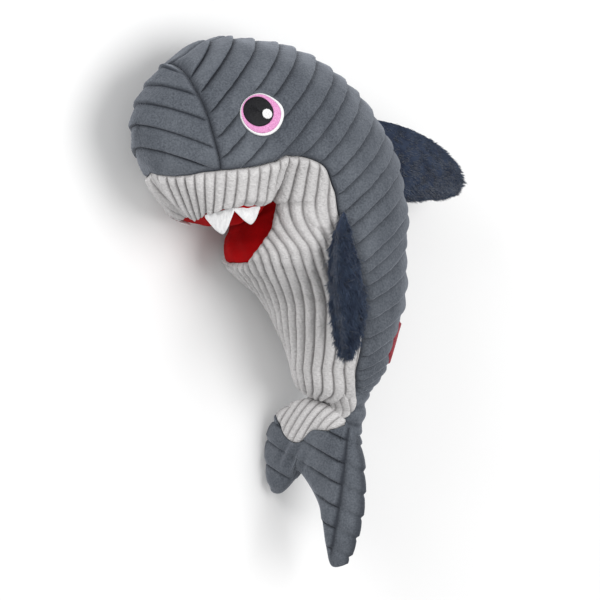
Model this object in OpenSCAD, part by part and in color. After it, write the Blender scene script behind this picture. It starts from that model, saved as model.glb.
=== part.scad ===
// Plush shark lying on its right flank, back arched and tail folded at the crease.
// X points to the back of the shark, Y to its head and Z up to its left flank.
// Units are millimetres.

/* [Body] */
// Half width of the head and chest, from the mid-plane to a flank
half_width = 47; // [45.5:0.5:49]
// Corner of the mouth, measured towards the back
mouth_x = -42; // [-43:0.5:-41]
// Corner of the mouth, measured towards the head
mouth_y = 56; // [55:0.5:57]
// Depth of the neck, from the corner of the mouth to the back
neck_depth = 107; // [103:1:110]
// Height of the flank that lies pressed flat, from the mid-plane
rest_z = 45; // [44:0.5:47]

/* [Fabric] */
// Thickness of the plush and cord panels
panel_thick = 1.6; // [1.2:0.1:2]
// Thickness of the fur fabric on the fins
fur_thick = 1; // [0.8:0.1:1.2]
// Angle left free on each side of a seam, in degrees
seam_gap = 0.25; // [0.2:0.05:0.4]
// Air between a panel and the stuffing behind it
fill_gap = 1.4; // [1.2:0.1:2]

/* [Eyes] */
// Radius of the white border of an eye
eye_r = 13.3; // [11:0.1:14]
// Thickness of the satin stitch
stitch_thick = 0.9; // [0.6:0.1:1.2]

/* [Fins] */
// Thickness of the raised left pectoral fin
left_fin_thick = 15; // [12:0.5:16]
// Thickness of the right pectoral fin, squashed under the flank
right_fin_thick = 5.5; // [5:0.1:5.6]
// Thickness of the dorsal fin
dorsal_thick = 14; // [11:0.5:15]
// Distance that the dorsal fin stands off the back, so that it can flap
dorsal_clear = 2; // [1.6:0.1:3]

/* [Tail] */
// Thickness of the tail in the middle
tail_thick = 20; // [17:0.5:21]
// Gap between the body and the root of the tail at the crease
crease_gap = 2.8; // [2.6:0.1:3.2]

/* [Teeth] */
// Thickness of the felt
felt_thick = 1.6; // [1.2:0.1:2]
// Angle at which the right teeth lie tucked in, in degrees
tuck = 60; // [55:1:62]

/* [Squeaker] */
// Radius of the squeaker bladder
bladder_r = 20; // [16:0.5:21]
// Height of the squeaker bladder
bladder_h = 14; // [11:0.5:15]

/* [Hidden] */
seat = [-1.3, 1.8, 45];
grey = [0.37, 0.39, 0.43];
cord = [0.82, 0.80, 0.78];
lining = [0.50, 0.01, 0.01];
navy = [0.14, 0.18, 0.26];
wool = [0.93, 0.93, 0.92];
felt = [0.95, 0.95, 0.94];

// ---- General helpers ----

function blend(a, b, t) = a + (b - a) * t;
function unit(v) = v / norm(v);
function clamp01(t) = min(max(t, 0), 1);
function bezier(a, b, c, t) = blend(blend(a, b, t), blend(b, c, t), t);

// Smooth curve through a list of rows, read at the row number s
function curve(rows, s) =
    let(last = len(rows) - 1, i = min(max(floor(s), 0), last - 1), t = s - i)
    let(a = rows[max(i - 1, 0)], b = rows[i], c = rows[i + 1], d = rows[min(i + 2, last)])
    b + 0.5 * t * ((c - a) + t * ((2 * a - 5 * b + 4 * c - d) + t * (3 * b - a - 3 * c + d)));

// Two triangles for one four-cornered face
function halves(q) = [[q[0], q[1], q[2]], [q[0], q[2], q[3]]];

// Closed sheet between two grids of points. on(i, j) says which cells exist.
// With loop = true the last column joins the first.
module sheet(rows, cols, outer, inner, on = function(i, j) true, loop = false) {
    wide = loop ? cols : cols + 1;
    back = (rows + 1) * wide;
    next = function(j) loop ? (j + 1) % cols : j + 1;
    full = function(i, j) i >= 0 && i < rows && (loop || (j >= 0 && j < cols))
        && on(i, loop ? (j + cols) % cols : j);
    points = concat(
        [for (i = [0:rows]) for (j = [0:wide - 1]) outer(i, j)],
        [for (i = [0:rows]) for (j = [0:wide - 1]) inner(i, j)]);
    quads = [
        for (i = [0:rows - 1]) for (j = [0:cols - 1]) if (on(i, j))
        let(a = i * wide + j, b = i * wide + next(j))
        let(d = a + wide, c = b + wide)
        each concat(
            [[a, b, c, d], [a + back, d + back, c + back, b + back]],
            full(i - 1, j) ? [] : [[b, a, a + back, b + back]],
            full(i + 1, j) ? [] : [[d, c, c + back, d + back]],
            full(i, j - 1) ? [] : [[a, d, d + back, a + back]],
            full(i, j + 1) ? [] : [[c, b, b + back, c + back]])];
    polyhedron(points, [for (q = quads) each halves(q)]);
}

// ---- Outer surface of the body ----

// Stations along the back: centre x and y, tilt of the ring in degrees, half
// depth, half width, and how square the belly side is. 2 is an ellipse.
function neck(angle, depth, square = 2.2) = [
    mouth_x + (depth + 0.7) * cos(angle), mouth_y + (depth + 0.7) * sin(angle),
    angle, depth, half_width, square];
half_neck = neck_depth / 2;
body_end = -63.5;
stations = [
    [25.5, body_end, 0, 0.6, 0.6, 2],
    [25.3, body_end + 2, 0, 9, 10, 2],
    [25.5, body_end + 6, 0, 18.5, 19, 2],
    [26, -51.5, 0, 24, 24, 2],
    [27.5, -43.5, 0, 28, 27, 2],
    [28, -32, 0, 31.5, 31, 2],
    [27, -17, 0, 37, 35, 2.1],
    [25.5, -3, 0, 43, 39, 2.1],
    [20, 10, 0, 50, half_width - 4, 2.2],
    [12.5, 22, 0, 57, half_width - 1, 2.3],
    [11, 34, 1, 58.5, half_width, 2.4],
    [13, 46, 3, 57.5, half_width, 2.3],
    neck(12, half_neck + 1),
    neck(26, half_neck),
    neck(40, half_neck - 1),
    neck(55, half_neck - 1.5),
    neck(70, half_neck - 1.5),
    neck(83, half_neck - 1.5, 2.6),
    [-46, 105, 90, 56, half_width, 3],
    [-56, 103.5, 90, 58.5, half_width - 1, 3.6],
    [-66, 102.5, 90, 57.5, half_width - 2.5, 3.6],
    [-76, 102, 90, 54.5, half_width - 5, 3],
    [-86, 102, 90, 48.5, half_width - 8.5, 2.4],
    [-96, 102.5, 90, 40.5, half_width - 14, 2.1],
    [-104, 104, 90, 32, half_width - 20.5, 2.1],
    [-111, 105, 90, 22, half_width - 29, 2],
    [-116, 106, 90, 11, half_width - 37.5, 2],
    [-118, 106.5, 90, 0.6, 0.6, 2]
];
last_station = len(stations) - 1;

// Point of the surface at station s and angle a, where 0 is the back ridge,
// 90 the left flank and 180 the belly
function ring_point(s, a) =
    let(r = curve(stations, s), n = cos(a) < 0 ? r[5] : 2)
    let(k = pow(pow(abs(cos(a)), n) + pow(abs(sin(a)), n), -1 / n))
    let(deep = max(r[3], 0.3) * cos(a) * k, wide = max(r[4], 0.3) * sin(a) * k)
    [r[0] + deep * cos(r[2]), r[1] + deep * sin(r[2]), wide];

function outward(s, a) =
    let(lo = max(s - 0.03, 0), hi = min(s + 0.03, last_station))
    unit(cross(ring_point(hi, a) - ring_point(lo, a), ring_point(s, a + 1) - ring_point(s, a - 1)));

// The right flank is pressed flat by the table, and dented by the fin under it
fin_axis_x = function(y) -3 + (57 - y) * 0.38;
eye_middle = [-55.7, 114.3];
function dent(x, y) =
    (right_fin_thick + 0.3) * clamp01((x - fin_axis_x(y) + 9) / 5) * clamp01((70 - y) / 5)
    + 2 * (stitch_thick + 0.1) * clamp01((eye_r + 15 - norm([x, y] - eye_middle)) / 5);
function pressed(p, depth) =
    [p.x, p.y, max(p.z, depth - rest_z + dent(p.x, p.y))];

// Point at a depth below the surface
function hide(s, a, depth = 0) = pressed(ring_point(s, a) - depth * outward(s, a), depth);

// Seam between the grey side and the light belly, as the angle at station s
function belly_seam(s) = lookup(s, [
    [0, 80], [2, 84], [4, 97], [7, 93], [9, 90], [10, 92], [11.5, 105], [12.5, 106],
    [14, 103], [16.5, 112], [18.5, 109], [20.5, 111], [21.5, 114], [22.5, 121],
    [23.5, 138], [24, 151], [24.5, 170], [24.6, 179.6]]);

// Edge of the mouth opening, as the angle at station s
mouth_rows = [9, 21.5];
mouth_corner = 14;
function mouth_edge(s) = lookup(s, [
    [0, 140], [6, 150], [8, 165], [9, 173], [9.5, 165], [10, 158], [11, 151],
    [13, 150], [16.5, 150], [18, 138], [19, 132], [20, 132], [21, 139], [21.5, 154],
    [23, 165], [24.5, 176]]);

// Seam between the snout panel and the sides, as the station at an angle
function snout_seam(a) = lookup(abs(a), [[0, 22.8], [50, 22.7], [90, 22.1], [114, 21.5]]);
snout_start = 21.5;
snout_end = 24.5;

// ---- Panels of the body ----

// Side panel, from the back ridge down to the belly seam
module side_panel(side) {
    list = [for (s = [0:0.5:21.5]) s];
    cols = 9;
    slide = function(s, a) s + clamp01((s - 20) / 1.5) * (snout_seam(a) - snout_start - 0.04);
    angle = function(s, j) blend(seam_gap, belly_seam(s) - seam_gap, j / cols);
    place = function(i, j, depth)
        let(a = angle(list[i], side > 0 ? j : cols - j)) hide(slide(list[i], a), side * a, depth);
    sheet(len(list) - 1, cols,
        function(i, j) place(i, j, 0), function(i, j) place(i, j, panel_thick));
}

module left_side_panel() {
    color(grey) side_panel(1);
}

module right_side_panel() {
    color(grey) side_panel(-1);
}

// Grey panel over the nose
module snout_panel() {
    list = [for (s = [snout_start:0.5:last_station]) s];
    cols = 22;
    slide = function(s, a)
        s + clamp01((snout_end - s) / 3) * (snout_seam(a) - snout_start) + (s > 22 ? 0 : 0.04);
    place = function(i, j, depth)
        let(s = list[i], a = (belly_seam(s) - seam_gap) * (2 * j / cols - 1))
        hide(min(slide(s, a), last_station), a, depth);
    color(grey) sheet(len(list) - 1, cols,
        function(i, j) place(i, j, 0), function(i, j) place(i, j, panel_thick));
}

// Columns of the belly: left strip, mouth, right strip
belly_cols = 6;
function belly_angle(s, j, gap) =
    let(edge = belly_seam(s) + seam_gap, lip = mouth_edge(s) + gap)
    j <= belly_cols ? blend(edge, lip, j / belly_cols)
    : j <= 2 * belly_cols ? blend(lip, 360 - lip, j / belly_cols - 1)
    : blend(360 - lip, 360 - edge, j / belly_cols - 2);

// Ribbed cord panel of the belly, the throat and the lips, open at the mouth
module belly_lip_panel() {
    list = [for (s = [0:0.5:24.5]) s];
    in_mouth = function(i, j)
        list[i] >= mouth_rows[0] && list[i] < mouth_rows[1]
        && j >= belly_cols && j < 2 * belly_cols;
    place = function(i, j, depth) hide(list[i], belly_angle(list[i], j, 0), depth);
    color(cord) sheet(len(list) - 1, 3 * belly_cols,
        function(i, j) place(i, j, 0), function(i, j) place(i, j, panel_thick),
        function(i, j) !in_mouth(i, j));
}

// How deep the palate is hollowed, from nothing at the lips
palate_hollow = 5;
function palate_depth(s, a) =
    palate_hollow * clamp01((s - 15.5) / 2) * clamp01((mouth_rows[1] - 0.5 - s) / 1)
    * clamp01((a - mouth_edge(s)) / 14);

// Red lining between two stations, with a small gap to the cord panel
module mouth_lining(from, to) {
    list = [for (s = [from:0.5:to]) s];
    last = len(list) - 1;
    station = function(i) list[i] + (i == 0 ? 0.02 : i == last ? -0.02 : 0);
    place = function(i, j, depth)
        let(s = list[i], a = belly_angle(s, belly_cols + j, 0.5))
        hide(station(i), a, depth + palate_depth(s, min(a, 360 - a)));
    color(lining) sheet(last, belly_cols,
        function(i, j) place(i, j, 0), function(i, j) place(i, j, panel_thick));
}

module palate_lining() {
    mouth_lining(mouth_corner, mouth_rows[1]);
}

module tongue_lining() {
    mouth_lining(mouth_rows[0], mouth_corner);
}

// ---- Stuffing and squeaker ----

// Closed block of stuffing between two stations. It stays above the fin that
// lies under the flank, and behind the hollow of the mouth.
module stuffing(from, to) {
    list = [for (s = [from:to]) s];
    cols = 20;
    floor_z = panel_thick + fill_gap + right_fin_thick + 0.3 - rest_z;
    hollow = function(s, a) s < mouth_corner ? 0
        : (palate_hollow + 3) * clamp01((min(a, 360 - a) - 112) / 20) * clamp01(23.5 - s);
    nose = function(s) 1.5 * clamp01(s - 23);
    depth = function(s, a) panel_thick + fill_gap + hollow(s, a) + nose(s);
    place = function(s, a)
        let(r = curve(stations, s), p = ring_point(s, a))
        let(q = p - depth(s, a) * unit(p - [r[0], r[1], 0]))
        [q.x, q.y, max(q.z, floor_z)];
    rings = [for (s = list) [for (j = [0:cols - 1]) place(s, j * 360 / cols)]];
    centre = function(ring) let(sum = [for (j = ring) 1] * ring) sum / len(ring);
    last = len(list) - 1;
    points = concat([for (ring = rings) each ring], [centre(rings[0]), centre(rings[last])]);
    start = len(points) - 2;
    wall = [
        for (i = [0:last - 1]) for (j = [0:cols - 1])
        let(k = (j + 1) % cols)
        each halves([i * cols + j, i * cols + k, (i + 1) * cols + k, (i + 1) * cols + j])];
    caps = [
        for (j = [0:cols - 1]) let(k = (j + 1) % cols)
        each [[start, k, j], [start + 1, last * cols + j, last * cols + k]]];
    color(wool) polyhedron(points, concat(wall, caps));
}

module head_fill() {
    stuffing(16.5, 24.5);
}

module body_fill() {
    stuffing(2, 12);
}

// The squeaker lies in a pocket between the two blocks of stuffing
module in_pocket() {
    angle = 22;
    reach = half_neck + 1;
    translate([mouth_x + reach * cos(angle), mouth_y + reach * sin(angle), 0])
        rotate([0, 0, angle]) rotate([-90, 0, 0]) children();
}

module squeaker_bladder() {
    wall = 1;
    color("ivory") in_pocket() difference() {
        rotate_extrude($fn = 48) difference() {
            hull() {
                square([1, bladder_h / 2]);
                translate([bladder_r - 4, 0]) intersection() {
                    circle(r = 4, $fn = 32);
                    square(4);
                }
                translate([bladder_r - 8, 0]) square([1, bladder_h / 2]);
            }
            hull() {
                translate([0, wall]) square([1, bladder_h / 2 - 2 * wall]);
                translate([bladder_r - 4, wall]) intersection() {
                    circle(r = 4 - wall, $fn = 32);
                    square([4, 2]);
                }
                translate([bladder_r - 8, wall]) square([1, bladder_h / 2 - 2 * wall]);
            }
        }
        translate([0, 0, -1]) cylinder(r = 4, h = 3, $fn = 48);
    }
}

module squeaker_reed() {
    color("silver") in_pocket() translate([0, 0, -5]) difference() {
        cylinder(r = 3.7, h = 8, $fn = 48);
        translate([0, 0, 1.2]) cylinder(r = 2.5, h = 8, $fn = 48);
    }
}

// ---- Embroidery ----

eye_s = 19;
eye_a = 79.5;
// Station and angle of the point at x and y millimetres from the eye's centre
function eye_spot(x, y) =
    let(ps = (ring_point(eye_s + 0.1, eye_a) - ring_point(eye_s - 0.1, eye_a)) / 0.2)
    let(pa = (ring_point(eye_s, eye_a + 1) - ring_point(eye_s, eye_a - 1)) / 2)
    let(det = ps.x * pa.y - pa.x * ps.y)
    [eye_s + (x * pa.y - y * pa.x) / det, eye_a + (y * ps.x - x * ps.y) / det];
// The eye is a little wider than tall, because the fabric is stretched there
function eye_point(c, r, t, lift, side) =
    let(q = eye_spot(c[0] + 1.07 * r * cos(t), c[1] + 0.98 * r * sin(t)))
    hide(q[0], side * q[1], -lift);

iris = [[-0.7, 0.5], 0.91 * eye_r];
pupil = [[-2.4, 1.8], 0.7 * eye_r];
glint = [[2.9, 0.2], 0.23 * eye_r];

// Stitched ring between two circles, each given as [centre, radius]
module stitched_ring(big, small, side) {
    cols = 28;
    place = function(i, j, lift)
        let(t = side * j * 360 / cols)
        blend(eye_point(small[0], small[1], t, lift, side), eye_point(big[0], big[1], t, lift, side), i / 2);
    sheet(2, cols, function(i, j) place(i, j, stitch_thick + 0.1),
        function(i, j) place(i, j, 0.1), loop = true);
}

// Stitched disc from a square grid drawn into a circle
module stitched_disc(disc, low, high, side) {
    cells = 8;
    place = function(i, j, lift)
        let(u = 2 * i / cells - 1, v = side * (1 - 2 * j / cells))
        let(x = u * sqrt(1 - v * v / 2), y = v * sqrt(1 - u * u / 2))
        eye_point(disc[0], disc[1] * sqrt(x * x + y * y), atan2(y, x), lift, side);
    sheet(cells, cells, function(i, j) place(j, i, high), function(i, j) place(j, i, low));
}

module eye_border(side) {
    color("white") stitched_ring([[0, 0], eye_r], [iris[0], iris[1] + 0.05], side);
}

module eye_iris(side) {
    color("orchid") stitched_ring(iris, [pupil[0], pupil[1] + 0.05], side);
}

module eye_pupil(side) {
    color("black") stitched_disc(pupil, 0.1, stitch_thick + 0.1, side);
}

module eye_glint(side) {
    color("white") stitched_disc(glint, stitch_thick + 0.2, stitch_thick + 0.8, side);
}

// Small embroidered patch near the back, with no lettering
module flank_patch() {
    cells = 5;
    place = function(i, j, lift)
        hide(blend(4.4, 6.3, i / cells), blend(20, 34, j / cells), -lift);
    color("firebrick") sheet(cells, cells,
        function(i, j) place(i, j, 0.9), function(i, j) place(i, j, 0.1));
}

// ---- Teeth ----

lip_front = [-81, 51, 19.5];
lip_notch = [-72.5, 55.5, 35.2];
lip_back = [-53, 57, 38.2];

// Felt triangle that hangs from the lip between two points. lean swings it
// inwards about its upper edge.
module tooth(a, b, drop, tip, side, lean) {
    width = norm(b - a);
    along = unit(b - a);
    down = unit([0, -1, 0] - ([0, -1, 0] * along) * along);
    across = cross(along, down);
    hang = down * cos(lean) + across * sin(lean);
    thick = cross(along, hang);
    gap = side > 0 ? 1.8 : 1.4;
    base = a + gap * down;
    color(felt) mirror([0, 0, side > 0 ? 0 : 1])
        multmatrix([
            [along.x, hang.x, thick.x, base.x],
            [along.y, hang.y, thick.y, base.y],
            [along.z, hang.z, thick.z, base.z],
            [0, 0, 0, 1]])
        linear_extrude(felt_thick, center = true)
        polygon([[1.8, 0], [width - 1.8, 0], [width - 1.3, 2],
            [tip + 1.4, drop - 1], [tip, drop], [tip - 1.4, drop - 1], [1.3, 2]]);
}

module front_tooth(side, lean) {
    tooth(lip_front, lip_notch, 12.5, 9, side, lean);
}

module rear_tooth(side, lean) {
    tooth(lip_notch, lip_back, 9.5, 11, side, lean);
}

// ---- Fins ----

// A leaf is a flat pillow. It grows from a straight root along "root", out along
// "span": lead and rear are the two edges, each [start, control, tip] in
// millimetres along the root and along the span.
function leaf_flat(leaf, u, v) =
    let(front = bezier(leaf[0][0], leaf[0][1], leaf[0][2], u))
    let(back = bezier(leaf[1][0], leaf[1][1], leaf[1][2], u))
    let(tip = unit(leaf[0][2] + leaf[1][2] - leaf[0][0] - leaf[1][0]))
    blend(front, back, v) + tip * leaf[2] * pow(u, 4) * (1 - pow(2 * v - 1, 2));
function leaf_half(thick, u, v) =
    let(edge = sqrt(max(1 - pow(2 * v - 1, 2), 0)), end = sqrt(max(1 - pow(u, 3), 0)))
    max(0.8, thick / 2 * edge * end * blend(0.35, 1, clamp01(u / 0.3)));
function leaf_point(frame, leaf, u, v, lift) =
    let(q = leaf_flat(leaf, u, v)) frame[0] + q[0] * frame[1] + q[1] * frame[2] + lift * frame[3];

// 1 if the leaf's rear edge lies further along its root than its leading edge
function leaf_turn(leaf) = sign(leaf[1][0][0] - leaf[0][0][0]);

// One of the two fabric covers of a leaf: face is 1 or -1
module leaf_cover(frame, leaf, thick, face) {
    rows = 9;
    cols = 8;
    place = function(i, j, deep)
        let(u = i / rows, v = (face * leaf_turn(leaf) < 0 ? j : cols - j) / cols)
        leaf_point(frame, leaf, u, v, face * max(leaf_half(thick, u, v) - deep, 0.1));
    color(navy) sheet(rows, cols,
        function(i, j) place(i, j, 0), function(i, j) place(i, j, fur_thick));
}

module leaf_fill(frame, leaf, thick) {
    rows = 6;
    cols = 6;
    place = function(i, j, face)
        let(u = blend(0.15, 0.8, i / rows), v = blend(0.15, 0.85, j / cols))
        leaf_point(frame, leaf, u, v, face * max(leaf_half(thick, u, v) - fur_thick - 0.15, 0.06));
    top = -leaf_turn(leaf);
    color(wool)
        sheet(rows, cols, function(i, j) place(i, j, top), function(i, j) place(i, j, -top));
}

// Frame of a leaf: where its root starts, along the root, along the span, across
function frame_of(start, root, span) =
    let(u = unit(root), v = unit(span - (span * unit(root)) * unit(root)))
    [start, u, v, cross(u, v)];

dorsal_start = [69, 56, 0] + (dorsal_clear + 3.8) * unit([55, 16, 0]);
dorsal_frame = frame_of(dorsal_start, [-16, 55, 0], [55, 16, 0]);
dorsal_leaf = [[[57, 0], [49, 37], [7, 47]], [[1, 0], [6, 22], [-3, 42]], 4];

left_frame = frame_of([-1, 55, 50.3], [17, -55, -3], [-0.9, 0, 0.43]);
left_leaf = [[[0, 0], [28, 38], [75, 50]], [[58, 0], [72, 22], [84, 40]], 5];

right_mid = -rest_z + right_fin_thick / 2;
right_frame = frame_of([-1, 55, right_mid], [21, -55, 0], [1, 0, 0]);
right_leaf = [[[0, 0], [24, 26], [66, 34]], [[60, 0], [66, 14], [74, 26]], 4];

module dorsal_fin_left_cover() {
    leaf_cover(dorsal_frame, dorsal_leaf, dorsal_thick, -1);
}

module dorsal_fin_right_cover() {
    mirror([0, 0, 1]) dorsal_fin_left_cover();
}

module dorsal_fin_fill() {
    leaf_fill(dorsal_frame, dorsal_leaf, dorsal_thick);
}

module left_pectoral_upper_cover() {
    leaf_cover(left_frame, left_leaf, left_fin_thick, -1);
}

module left_pectoral_lower_cover() {
    leaf_cover(left_frame, left_leaf, left_fin_thick, 1);
}

module left_pectoral_fill() {
    leaf_fill(left_frame, left_leaf, left_fin_thick);
}

module right_pectoral_upper_cover() {
    leaf_cover(right_frame, right_leaf, right_fin_thick, 1);
}

module right_pectoral_lower_cover() {
    leaf_cover(right_frame, right_leaf, right_fin_thick, -1);
}

module right_pectoral_fill() {
    leaf_fill(right_frame, right_leaf, right_fin_thick);
}

// ---- Tail ----

hinge_y = body_end - crease_gap / 2;
tail_frame = frame_of([25, hinge_y, 0], [-0.301, -0.871, -0.388], [0.358, -0.476, 0.791]);
// Rear edge of the tail, from the right tip over the fork to the left tip
tail_rear = [
    [60, -21], [69, -11], [64, -5], [55, -2], [47.5, 0],
    [58, 24], [78, 43], [86, 54], [75, 61]];
function tail_root(v) = [crease_gap / 2 + 10 * (1 - sqrt(1 - 0.9 * v * v)), 23 * v + 2];
function tail_flat(u, v) =
    let(rear = curve(tail_rear, 4 + 4 * v), bow = 4 * u * (1 - u) * pow(abs(v), 3))
    blend(tail_root(v), rear, u) + bow * [-2.5, v > 0 ? 8 : -8];
function tail_half(u, v) =
    let(edge = sqrt(max(1 - pow(abs(v), 3), 0)), end = sqrt(max(1 - pow(u, 4), 0)))
    let(root = sqrt(1 - pow(1 - clamp01((u + 0.03) / 0.28), 2)))
    max(0.8, tail_thick / 2 * edge * end * root * blend(1, 0.75, u));
function tail_point(u, v, lift) =
    let(q = tail_flat(u, v), curl = v < 0 ? 8 * v * u * u : 0)
    tail_frame[0] + q[0] * tail_frame[1] + q[1] * tail_frame[2] + (lift + curl) * tail_frame[3];
// Tip of the white patch under the tail, as the share of the way to the rear edge
function patch_edge(v) = lookup(v, [
    [-1, 0.42], [-0.6, 0.55], [-0.3, 0.55], [0, 0.48], [0.3, 0.26], [0.6, 0.1], [1, 0.08]]);

// Fabric on one face of the tail, over the rows from "from" to "to" of each column
module tail_sheet(face, from, to, rows) {
    cols = 16;
    place = function(i, j, deep)
        let(v = -face * (1 - 2 * j / cols), u = blend(from(v), to(v), i / rows))
        tail_point(u, v, face * max(tail_half(u, v) - deep, 0.1));
    sheet(rows, cols, function(i, j) place(i, j, 0), function(i, j) place(i, j, panel_thick));
}

module tail_back_panel() {
    color(grey) tail_sheet(-1, function(v) 0, function(v) 1, 12);
}

module tail_under_panel() {
    color(grey) tail_sheet(1, function(v) patch_edge(v) + 0.003, function(v) 1, 9);
}

module tail_white_patch() {
    color(cord) tail_sheet(1, function(v) 0, function(v) patch_edge(v) - 0.003, 5);
}

module tail_fill() {
    rows = 8;
    cols = 10;
    place = function(i, j, face)
        let(u = blend(0.1, 0.85, i / rows), v = blend(-0.8, 0.8, j / cols))
        tail_point(u, v, face * max(tail_half(u, v) - panel_thick - 0.2, 0.06));
    color(wool) sheet(rows, cols, function(i, j) place(i, j, 1), function(i, j) place(i, j, -1));
}

// ---- Assembly ----

module seated() {
    translate(seat) children();
}

seated() left_side_panel();
seated() right_side_panel();
seated() snout_panel();
seated() belly_lip_panel();
seated() palate_lining();
seated() tongue_lining();
seated() head_fill();
seated() body_fill();
seated() squeaker_bladder();
seated() squeaker_reed();
seated() eye_border(1);  // left_eye_border
seated() eye_iris(1);  // left_eye_iris
seated() eye_pupil(1);  // left_eye_pupil
seated() eye_glint(1);  // left_eye_glint
seated() eye_border(-1);  // right_eye_border
seated() eye_iris(-1);  // right_eye_iris
seated() eye_pupil(-1);  // right_eye_pupil
seated() eye_glint(-1);  // right_eye_glint
seated() flank_patch();
seated() front_tooth(1, 0);  // left_front_tooth
seated() rear_tooth(1, 0);  // left_rear_tooth
seated() front_tooth(-1, tuck);  // right_front_tooth
seated() rear_tooth(-1, tuck);  // right_rear_tooth
seated() dorsal_fin_left_cover();
seated() dorsal_fin_right_cover();
seated() dorsal_fin_fill();
seated() left_pectoral_upper_cover();
seated() left_pectoral_lower_cover();
seated() left_pectoral_fill();
seated() right_pectoral_upper_cover();
seated() right_pectoral_lower_cover();
seated() right_pectoral_fill();
seated() tail_back_panel();
seated() tail_under_panel();
seated() tail_white_patch();
seated() tail_fill();
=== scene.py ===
"""Plush shark lying on its right flank: plush, cord, fur, felt and embroidery round the CAD frame.

Shapes are worked out in millimetres in the shark's own axes: X to the back, Y to the head and
Z up to the left flank, with the mid-plane at Z 0. SEAT moves them into the row frame.
"""
import math

import bmesh
import bpy
import numpy as np
from mathutils import Matrix


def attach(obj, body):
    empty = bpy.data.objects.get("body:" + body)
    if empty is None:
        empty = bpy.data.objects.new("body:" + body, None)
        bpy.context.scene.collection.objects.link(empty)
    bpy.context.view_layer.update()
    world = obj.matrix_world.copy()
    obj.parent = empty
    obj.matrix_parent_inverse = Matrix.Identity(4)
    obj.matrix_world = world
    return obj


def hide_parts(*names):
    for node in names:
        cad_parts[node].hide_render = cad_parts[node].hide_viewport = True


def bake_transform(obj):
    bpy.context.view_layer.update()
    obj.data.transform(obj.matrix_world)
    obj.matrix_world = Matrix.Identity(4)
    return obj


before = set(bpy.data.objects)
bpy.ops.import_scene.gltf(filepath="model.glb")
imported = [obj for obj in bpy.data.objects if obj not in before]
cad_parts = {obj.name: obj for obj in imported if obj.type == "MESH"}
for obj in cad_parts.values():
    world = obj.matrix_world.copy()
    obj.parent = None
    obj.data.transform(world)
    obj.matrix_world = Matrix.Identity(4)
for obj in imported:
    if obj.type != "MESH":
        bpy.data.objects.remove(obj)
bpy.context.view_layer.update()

SEAT = np.array([-1.3, 1.8, 45.0])
MM = 0.001
REST_Z = 45.0
PANEL = 1.6
EYE_R = 13.3
EYE_S, EYE_A = 19.0, 79.5
RIGHT_FIN_THICK = 5.5
SIDE_NAME = {1: "left", -1: "right"}

# ---- Small helpers ----


def row(p):
    """Points in the shark's millimetres, as metres in the row frame."""
    return (np.asarray(p, float) + SEAT) * MM


def unit(v):
    return v / np.maximum(np.linalg.norm(v, axis=-1, keepdims=True), 1e-9)


def clamp01(t):
    return np.clip(t, 0.0, 1.0)


def smooth(t):
    t = clamp01(t)
    return t * t * (3 - 2 * t)


def bell(distance, width):
    """1 at no distance, falling to nothing a few widths away."""
    return np.exp(-((distance / width) ** 2))


def curve(rows, s):
    """Catmull-Rom curve through a table of rows, read at the row numbers s."""
    rows = np.asarray(rows, float)
    last = len(rows) - 1
    i = np.clip(np.floor(s).astype(int), 0, last - 1)
    t = (s - i)[..., None]
    a, b = rows[np.maximum(i - 1, 0)], rows[i]
    c, d = rows[i + 1], rows[np.minimum(i + 2, last)]
    return b + 0.5 * t * ((c - a) + t * ((2 * a - 5 * b + 4 * c - d) + t * (3 * b - a - 3 * c + d)))


def soft_lookup(table, s, blur=0.3):
    """A table of [s, value] read with straight lines, and rounded over its corners."""
    xs, ys = np.array(table, float).T
    steps = [(-1, 1), (-0.5, 2), (0, 2), (0.5, 2), (1, 1)]
    return sum(weight * np.interp(s + blur * step, xs, ys) for step, weight in steps) / 8


def waves(p, size, seed):
    """Smooth noise from -1 to 1, made of a few crossed sines about size millimetres long."""
    rng = np.random.default_rng(seed)
    total = 0
    for _ in range(7):
        way = unit(rng.normal(size=3)) * 2 * math.pi / (size * rng.uniform(0.7, 1.6))
        along = way[0] * p[..., 0] + way[1] * p[..., 1] + way[2] * p[..., 2]
        total = total + np.sin(along + rng.uniform(0, 6.3))
    return total / 3.2


def on_table(p, gap=0.1):
    """Lifts the points of p that would sink into the table, in place."""
    p[..., 2] = np.maximum(p[..., 2], -REST_Z + gap)
    return p


# ---- Outer surface of the body ----

MOUTH = (-42.0, 56.0)
HALF_NECK = 53.5
HALF_WIDTH = 47.0
BODY_END = -63.5


def neck(angle, depth, square=2.2):
    """A ring of the neck, which fans out from the corner of the mouth."""
    turn = math.radians(angle)
    reach = depth + 0.7
    return [
        MOUTH[0] + reach * math.cos(turn), MOUTH[1] + reach * math.sin(turn),
        angle, depth, HALF_WIDTH, square]


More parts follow.
